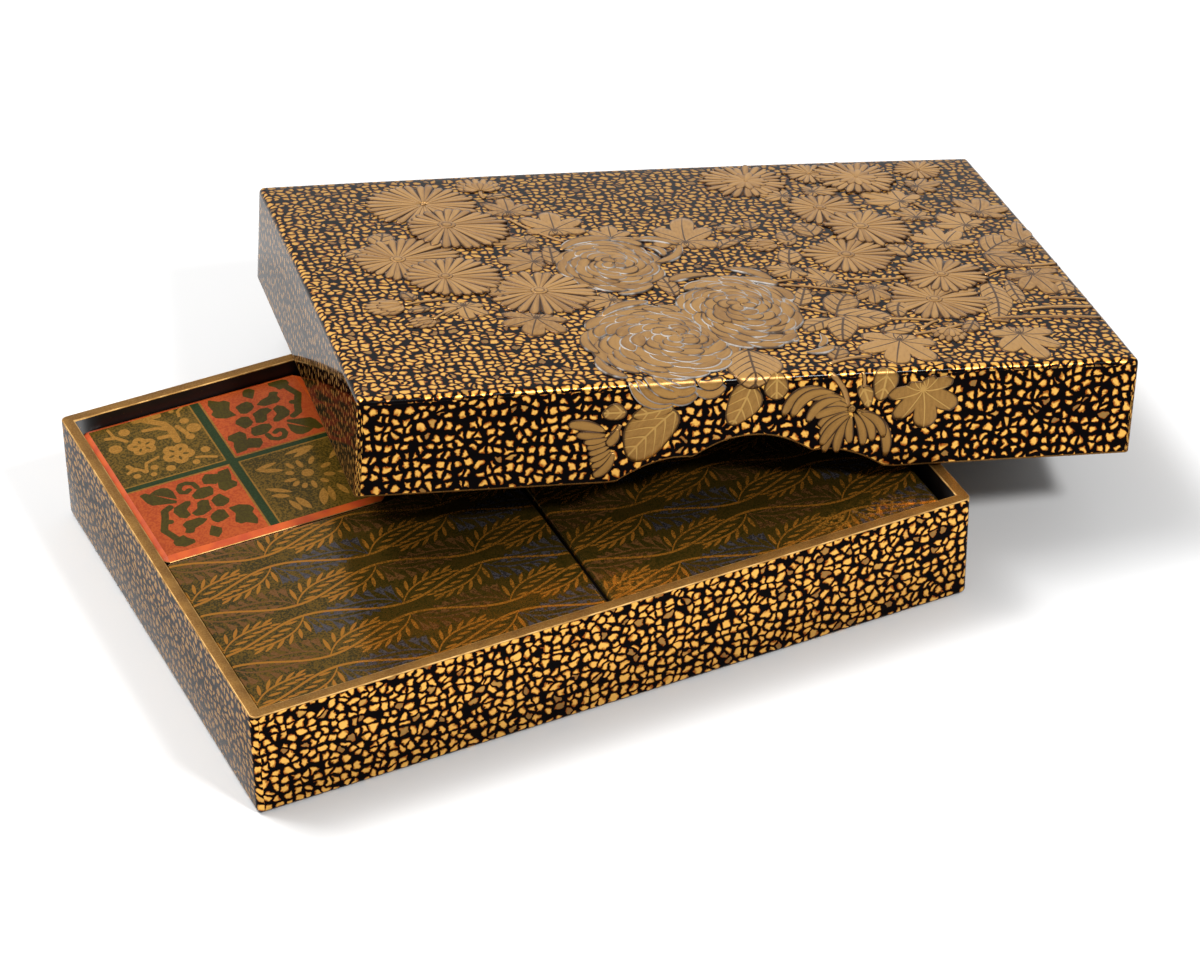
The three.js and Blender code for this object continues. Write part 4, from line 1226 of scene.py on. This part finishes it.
SIDE_FLOWERS = [
    # cup, reach, way it opens, half the angle it spreads over, petals, bow of the outermost
    ((-25.4, 34.4), 6.0, 88, 58, 9, 0.5), ((-47.0, -9.6), 6.6, 190, 36, 8, 0.5),
    ((-43.6, -15.6), 4.6, 205, 34, 6, 0.4), ((17.0, 6.8), 5.4, 184, 38, 7, 0.4),
    ((34.6, -28.2), 5.6, 250, 40, 7, 0.4),
]
FRONT_PETALS = [
    # small flower beside the lobed leaf: from x and z, to x and z, bow, half width
    (-23.0, 8.6, -28.9, 10.0, -0.4, 0.95), (-22.9, 8.1, -27.6, 8.4, 0.2, 0.75),
    (-22.7, 7.5, -26.4, 7.1, 0.2, 0.62), (-22.5, 6.9, -25.9, 6.1, 0.2, 0.6),
    (-22.3, 6.3, -25.6, 5.1, 0.25, 0.6), (-22.1, 5.7, -25.4, 4.0, 0.3, 0.6),
    (-21.9, 5.2, -25.1, 2.9, 0.4, 0.65), (-21.7, 5.2, -24.8, 1.4, 0.8, 0.85),
    (-21.2, 9.0, -22.9, 6.4, 0.4, 0.9),
    # large flower over the end of the cut
    (11.2, 13.4, 4.3, 9.3, -2.0, 0.95), (12.2, 12.9, 5.7, 9.1, -1.9, 0.95),
    (13.4, 11.8, 8.2, 8.2, -1.3, 0.9), (14.4, 11.2, 7.6, 12.4, -0.6, 0.9),
    (14.6, 10.5, 8.6, 10.8, -0.6, 0.85), (14.6, 10.1, 9.2, 9.0, -0.5, 0.85),
    (14.6, 9.8, 9.9, 7.4, -0.5, 0.9), (14.7, 9.5, 10.4, 5.8, -0.6, 0.9),
    (14.8, 9.2, 10.6, 4.2, -0.7, 0.9), (14.9, 9.0, 11.2, 3.0, -0.9, 0.9),
    (15.0, 8.7, 13.2, 2.9, -0.7, 0.85), (15.1, 9.0, 15.2, 4.4, -0.3, 0.75),
    (15.4, 9.4, 17.2, 3.8, 0.6, 0.8), (15.8, 9.8, 18.6, 4.4, 0.9, 0.8),
    (16.4, 9.4, 20.4, 5.0, 1.1, 0.85), (16.2, 9.9, 20.9, 1.7, 1.9, 0.95),
]
batches = []
for flower in SIDE_FLOWERS:
    batches += [(rows, 0) for rows in side_flower(*flower)]
batches.append((bowed_petals(on_front(FRONT_PETALS), 0.14), 1))
front_heart = (FRONT_HEART[0], along_front(*FRONT_HEART))
batches.append((button(front_heart, FRONT_HEART_RADIUS, 0.1), 1))
front_shaded_gold = make_petal_gold("front_petal_gold_shaded", PETAL_STROKES, FRONT_SHADED_DEEP, FRONT_SHADED_GOLD)
lay_relief("cover_side_flowers", batches, [ray_gold, front_shaded_gold])


# The leaves: lobed chrysanthemum leaves and plain leaflets with fine veins, between and under the flowers.
# At the front they fold down over the cover's edge, and on the front wall the veins stand up bright on the
# darker gold painted there as shade.
LEAF_LOBE_TURN = np.radians(48)
LEAF_SPOKES = 120
LEAF_HEIGHT, LEAF_STROKES = 0.08, 0.7
LEAF_ROUNDS = np.r_[1.0, np.linspace(0.97, 0.04, 8)]
LEAF_LOBES = np.array([
    # one half of a lobed leaf: angle from its tip in degrees, reach in shares of its length
    (0, 0.57), (10, 0.54), (17, 0.48), (22, 0.36), (24, 0.32), (27, 0.37), (36, 0.47), (47, 0.50),
    (57, 0.45), (66, 0.34), (71, 0.25), (75, 0.27), (84, 0.36), (96, 0.39), (108, 0.34), (117, 0.24),
    (122, 0.20), (128, 0.21), (138, 0.21), (150, 0.16), (180, 0.11),
])
FRONT_VEIN = (0.50, 0.29, 0.075, 1.0)


def leaf_outline(angle, lobed):
    """Reach of a leaf by the angle from its tip, in shares of its length: lobed, or a plain oval."""
    lobes = np.interp(np.degrees(np.abs(angle)), *LEAF_LOBES.T)
    plain = 0.48 + 0.06 * np.maximum(np.cos(angle), 0) ** 6
    return np.where(lobed, lobes, plain)


def leaves(middle, turn, length, half_width, lobed, lift):
    """Many leaves at once, each a low dome of rounds and spokes inside its outline.

    Gives the points by leaf, round and spoke, how far inside the outline each lies, and as UV the way
    ahead and aside from the point where the veins meet, in mm.
    """
    angle = np.linspace(-np.pi, np.pi, LEAF_SPOKES, endpoint=False)[None, None, :]
    out = LEAF_ROUNDS[None, :, None]
    length, half_width, lobed, lift = (value[:, None, None]
                                       for value in (length, half_width, lobed, lift))
    uneven = 1 + 0.07 * np.cos(3 * angle + dice.uniform(0, 6.28, len(middle))[:, None, None])
    reach = leaf_outline(angle, lobed > 0) * uneven * out * length
    ahead = reach * np.cos(angle)
    aside = reach * np.sin(angle) * half_width / (np.where(lobed > 0, 0.41, 0.47) * length)
    bow = dice.uniform(-0.3, 0.3, len(middle))[:, None, None] * ahead ** 2 / length
    turn = np.radians(turn)[:, None, None]
    back = np.where(lobed > 0, 0.2, 0.03) * length
    u = middle[:, 0, None, None] + (ahead - back) * np.cos(turn) - (aside + bow) * np.sin(turn)
    v = middle[:, 1, None, None] + (ahead - back) * np.sin(turn) + (aside + bow) * np.cos(turn)
    stand = np.where(out > 0.99, -SINK, lift + LEAF_HEIGHT * (1 - out ** 4))
    inside = np.maximum(0.97 - out, 0) * reach / out / LINE_WIDTH
    uv = np.stack([ahead, aside], -1).reshape(-1, 2)
    return (drape(u, v, stand), inside), uv


def blend_number(tree, share, first, second):
    """The first number where share is 0, the second where it is 1."""
    made = node(tree, "ShaderNodeMix", data_type="FLOAT")
    link(tree, share, made.inputs[0])
    link(tree, first, made.inputs[2])
    link(tree, second, made.inputs[3])
    return made.outputs[0]


def make_leaf_gold(name, vein_tone, vein_rise, thin, *tones):
    """Gold for leaves, the veins darker or brighter.

    A lobed leaf has bent spokes to its lobes, a plain one a rib with slanting side veins.
    """
    material, tree, shader = new_material(name, Metallic=0.6)
    gold = place_gold(tree, LEAF_STROKES, *tones)
    at = node(tree, "ShaderNodeSeparateXYZ", {"Vector": place_on(tree, "UV")}).outputs
    aside = calc(tree, "ABSOLUTE", at["Y"])
    squared = calc(tree, "MULTIPLY_ADD", at["X"], at["X"], calc(tree, "MULTIPLY", aside, aside))
    far = calc(tree, "SQRT", squared)
    angle = calc(tree, "ARCTAN2", aside, at["X"])
    bent = calc(tree, "DIVIDE", 0.8, calc(tree, "ADD", far, 0.6))
    bent = calc(tree, "MULTIPLY_ADD", bent, angle, angle)
    spoke = calc(tree, "MULTIPLY", far, calc(tree, "PINGPONG", bent, LEAF_LOBE_TURN / 2))
    spoke = calc(tree, "MULTIPLY_ADD", far, 0.012, spoke)
    slant = calc(tree, "MULTIPLY", calc(tree, "POWER", aside, 1.25), 0.85)
    slant = calc(tree, "PINGPONG", calc(tree, "SUBTRACT", at["X"], slant), 2.0)
    side_vein = calc(tree, "ABSOLUTE", calc(tree, "SUBTRACT", slant, 1.0))
    side_vein = calc(tree, "MULTIPLY_ADD", side_vein, 0.8, calc(tree, "MULTIPLY", aside, 0.035))
    rib = calc(tree, "MINIMUM", aside, side_vein)
    nearest = blend_number(tree, attribute(tree, "lobed"), rib, spoke)
    vein = calc(tree, "MULTIPLY", ramp(tree, nearest, 0.32 * thin, 0.14 * thin), 0.9)
    tone = blend_colour(tree, vein, gold["Color"], vein_tone)
    tone = blend_colour(tree, calc(tree, "MULTIPLY", gold["Line"], 0.8), tone, GROOVE_DARK_AND_SHADE)
    link(tree, tone, shader["Base Color"])
    link(tree, gold["Roughness"], shader["Roughness"])
    relief = calc(tree, "MULTIPLY_ADD", vein, vein_rise, calc(tree, "MULTIPLY", gold["Height"], 0.3))
    add_bump(tree, shader, relief, 0.08 * MM, 0.5)
    return material


LEAVES = [
    # x and y of the middle, way it points, length, half width, lobed
    (-22.6, 27.2, 82, 11.0, 4.4, 1), (-23.0, 32.3, 10, 4.2, 1.0, 0), (-17.0, 19.4, 84, 15.0, 5.4, 1),
    (-24.6, 12.6, 172, 11.0, 2.9, 1), (-25.6, 4.6, 168, 11.5, 4.6, 1), (-20.2, 6.4, 82, 7.4, 1.6, 0),
    (-8.8, 14.0, 82, 9.0, 4.2, 1), (2.8, 12.6, 84, 18.0, 5.8, 1), (-29.0, -19.6, 248, 12.0, 5.6, 1),
    (-38.4, -13.0, 262, 9.6, 3.8, 1), (-45.2, -11.6, 190, 3.8, 1.1, 0), (-45.8, -6.4, 110, 3.6, 1.2, 0),
    (-49.6, 11.4, 190, 5.6, 2.0, 0), (-45.4, 16.4, 70, 5.6, 2.2, 0), (-31.6, -5.6, 272, 8.0, 1.6, 0),
    (-16.6, -13.0, 205, 9.6, 3.8, 1), (-4.8, -7.6, 92, 8.0, 1.6, 0), (0.2, -38.4, 262, 11.0, 4.4, 0),
    (22.2, 27.4, 165, 8.4, 2.9, 1), (31.0, 28.6, 5, 10.0, 2.4, 1), (49.0, 29.4, 8, 9.0, 3.4, 1),
    (41.2, 24.6, 132, 12.5, 5.0, 1), (43.0, 17.2, 92, 8.0, 3.2, 1), (55.4, 19.2, 62, 12.6, 5.0, 1),
    (49.0, 13.4, 128, 11.4, 4.8, 1), (44.0, 7.0, 102, 13.6, 5.2, 1), (57.6, 7.0, 84, 15.0, 2.8, 1),
    (53.6, 3.8, 38, 9.4, 3.6, 0), (52.4, -2.8, -44, 8.0, 3.0, 0), (55.0, -12.0, 284, 14.0, 5.2, 1),
    (45.4, -19.0, 258, 15.0, 2.4, 0), (49.2, -16.0, 266, 9.0, 1.3, 0), (36.2, 2.6, 104, 5.4, 2.0, 0),
    (23.6, 12.4, 100, 6.0, 2.4, 0), (19.2, 9.0, 84, 6.0, 1.7, 0), (11.0, 14.2, 186, 4.4, 1.6, 0),
    (14.8, 15.0, 80, 4.0, 1.3, 0), (17.4, 1.6, 74, 6.0, 2.0, 0), (15.0, -4.6, 208, 8.4, 3.4, 1),
    (20.4, -7.0, 100, 12.0, 2.8, 1), (26.6, -14.6, 262, 12.0, 3.0, 1), (28.6, -20.4, 250, 6.0, 1.8, 0),
    (20.2, -17.2, 62, 8.6, 2.8, 0), (22.4, -23.2, -18, 8.8, 3.6, 0), (17.8, -26.6, 252, 8.8, 2.4, 0),
    (15.0, -14.4, 68, 8.0, 1.5, 0), (14.2, -24.8, 214, 7.0, 2.0, 0), (24.0, -35.2, 248, 17.0, 6.4, 1),
    (26.8, -27.8, 20, 6.6, 1.7, 0), (44.8, -34.8, 270, 17.0, 5.6, 1), (38.0, -28.2, 240, 4.6, 1.4, 0),
    (14.4, -35.4, 66, 5.0, 1.7, 0), (58.0, -14.6, 262, 6.0, 1.6, 0), (9.0, 8.0, 40, 5.0, 1.4, 0),
]
FRONT_LEAVES = [
    # x and z of the middle on the front wall, then as above
    (-21.8, 11.6, 180, 3.8, 1.4, 0), (-16.4, 7.9, 226, 10.2, 3.6, 0), (-16.0, 11.4, 190, 6.4, 1.3, 0),
    (-2.0, 11.8, 248, 7.2, 2.7, 0), (3.0, 14.4, 272, 4.8, 1.9, 0), (17.2, 12.2, 292, 4.0, 1.2, 0),
    (20.0, 14.0, 262, 5.6, 2.0, 0), (26.6, 10.4, 282, 12.0, 5.8, 1),
]
leaf_list = np.array(LEAVES + [(x, along_front(x, z), *rest) for x, z, *rest in FRONT_LEAVES])
x, y, turn, length, half_width, lobed = leaf_list.T
lift = 0.06 + 0.035 * (np.arange(len(x)) % 3)
(rows, inside), leaf_uv = leaves(np.stack([x, y], -1), turn, length, half_width, lobed, lift)
split = len(LEAVES)
lay_relief("cover_leaves", [((rows[:split], inside[:split]), 0), ((rows[split:], inside[split:]), 1)],
           [make_leaf_gold("leaf_gold", GROOVE_DARK_AND_SHADE, -1.0, 0.8),
            make_leaf_gold("front_leaf_gold_shaded", FRONT_VEIN, 1.0, 0.7, FRONT_SHADED_DEEP, FRONT_SHADED_GOLD)],
           leaf_uv, {"lobed": np.repeat(lobed, len(LEAF_ROUNDS) * LEAF_SPOKES)})


# The stems: thin raised lines of gilded lacquer paste that run between the leaves, off the cover's right
# end and down its front wall.
STEMS = [
    # from x and y, to x and y, bow, half width
    (47.5, -23.0, 60.0, -22.6, 0.9, 0.5), (41.5, -25.4, 60.0, -26.6, 0.6, 0.45),
    (54.0, -18.4, 60.0, -19.6, 0.3, 0.4), (54.0, -5.4, 60.0, -5.0, -0.3, 0.45),
    (55.0, -6.8, 60.0, -6.9, 0.2, 0.35), (46.8, -8.8, 51.2, -6.4, 0.3, 0.4),
    (24.0, -8.2, 33.2, -8.6, -0.5, 0.4), (12.4, -9.4, 24.2, -13.6, 0.4, 0.4),
    (10.8, -17.0, 17.2, -21.0, 0.3, 0.35), (26.0, -24.0, 33.2, -25.4, 0.2, 0.4),
    (28.0, -30.0, 37.2, -27.0, -0.4, 0.45), (30.0, -28.4, 33.6, -25.4, 0.3, 0.35),
    (12.0, -39.2, 19.4, -37.2, 0.6, 0.5), (11.0, -8.8, 17.4, -7.6, 0.4, 0.35),
    (-23.4, 22.0, -16.6, 11.4, -0.6, 0.35), (-25.4, 31.6, -25.4, 34.6, 0.2, 0.4),
    (-47.0, -9.6, -40.0, -8.4, 0.4, 0.35), (-43.6, -15.6, -39.2, -12.0, 0.4, 0.3),
    (17.0, 6.8, 19.6, 7.6, 0.2, 0.35), (34.6, -28.2, 35.6, -26.6, 0.2, 0.35),
    (42.0, -26.0, 44.8, -26.8, 0.0, 0.4), (47.0, 18.0, 44.6, 22.0, 0.2, 0.35),
    (49.0, 1.0, 44.4, 2.4, 0.3, 0.4),
]
FRONT_STEMS = [
    # the same on the front wall, by x and height
    (11.4, 16.0, 14.4, 10.2, 0.7, 0.5), (16.4, 16.0, 16.6, 13.4, 0.2, 0.3),
    (-20.8, 9.6, -22.2, 8.0, 0.2, 0.4), (-13.0, 12.6, -12.4, 14.4, 0.2, 0.35),
]
STEM_STATIONS, STEM_HEIGHT, STEM_BASE, STEM_STROKES = 16, 0.18, 0.04, 3.0
round_shape = np.repeat(np.maximum(1 - columns_across(5) ** 2, 0)[None] ** 0.5, STEM_STATIONS, 0)
stems = by_hand(STEMS + on_front(FRONT_STEMS), np.ones(STEM_STATIONS), round_shape,
                STEM_HEIGHT, STEM_BASE)
lay_relief("cover_stems", [(stems, 0)], [make_petal_gold("stem_gold", STEM_STROKES)])


# The studio: a pale floor, a sky white overhead and low at the back but dim in front, a soft light high
# at the back left, a weaker one over the left floor, and a small one in front that lets the cover's edge
# glint. The camera stands above the box's front left, far off, with a long lens.
FLOOR_HALF, FLOOR_TONE = 3.0, (0.60, 0.60, 0.60, 1.0)
SKY_WHITE, SKY_LOW, SKY_FRONT = (1.0, 1.0, 1.0, 1.0), (0.42, 0.42, 0.43, 1.0), (0.1, 0.1, 0.1, 1.0)
SKY_STRENGTH = 0.85
LIGHTS = [
    # name, place, what it faces, size, power
    ("key", (-0.40, 0.45, 1.0), (0.0, 0.0, 0.0), 0.35, 10.4),
    ("left_floor", (-0.3, 0.2, 0.9), (-0.2, 0.1, 0.0), 0.4, 3.0),
    ("edge_glint", (0.27, -0.71, 0.82), (0.05, -0.02, 0.03), 0.15, 9.0),
]
CAMERA_PLACE = (-0.21276, -0.49069, 0.42185)
CAMERA_AXES = [(0.9036, -0.4283, -0.0101), (0.2671, 0.5448, 0.7949), (-0.3349, -0.7209, 0.6067)]
CAMERA_LENS, CAMERA_SENSOR = 131.46, 36.0


def set_up(name, data, place, axes):
    """Put a light or a camera in its place, its own right, up and back along these axes."""
    made = bpy.data.objects.new(name, data)
    turned = Matrix(np.stack(axes, -1).tolist()).to_4x4()
    turned.translation = place
    made.matrix_world = turned
    bpy.context.scene.collection.objects.link(made)
    return made


def soft_light(name, place, aim, size, power):
    """A square soft light at a place, facing the aim."""
    data = bpy.data.lights.new(name, "AREA")
    data.size = size
    data.energy = power
    back = np.array(place) - np.array(aim)
    back = back / np.linalg.norm(back)
    right = np.cross((0, 0, 1), back)
    right = right / np.linalg.norm(right)
    set_up(name, data, place, [right, np.cross(back, right), back])


floor_material = new_material("pale_floor", Roughness=0.9, Base_Color=FLOOR_TONE)[0]
floor_points = FLOOR_HALF * np.array([(-1, -1, 0), (1, -1, 0), (1, 1, 0), (-1, 1, 0)])
floor = make_piece("floor", floor_points, [[0, 1, 2, 3]], [floor_material])

world = bpy.data.worlds.new("studio")
bpy.context.scene.world = world
world.use_nodes = True
sky = world.node_tree
way = node(sky, "ShaderNodeSeparateXYZ", {"Vector": place_on(sky, "Generated")}).outputs
sky_tone = blend_colour(sky, ramp(sky, way["Z"], 0.1, 0.6), SKY_LOW, SKY_WHITE)
sky_tone = blend_colour(sky, ramp(sky, way["Y"], 0.2, -0.5, 0.0, 0.6), sky_tone, SKY_FRONT)
glow = calc(sky, "MULTIPLY", ramp(sky, way["Y"], 0.5, 0.8), ramp(sky, way["Z"], 0.23, 0.14))
sky_tone = blend_colour(sky, glow, sky_tone, SKY_WHITE)
link(sky, sky_tone, sky.nodes["Background"].inputs["Color"])
sky.nodes["Background"].inputs["Strength"].default_value = SKY_STRENGTH

for light in LIGHTS:
    soft_light(*light)
camera_data = bpy.data.cameras.new("camera")
camera_data.sensor_width = CAMERA_SENSOR
camera_data.lens = CAMERA_LENS
bpy.context.scene.camera = set_up("camera", camera_data, CAMERA_PLACE, CAMERA_AXES)
bpy.context.scene.view_settings.view_transform = "Standard"
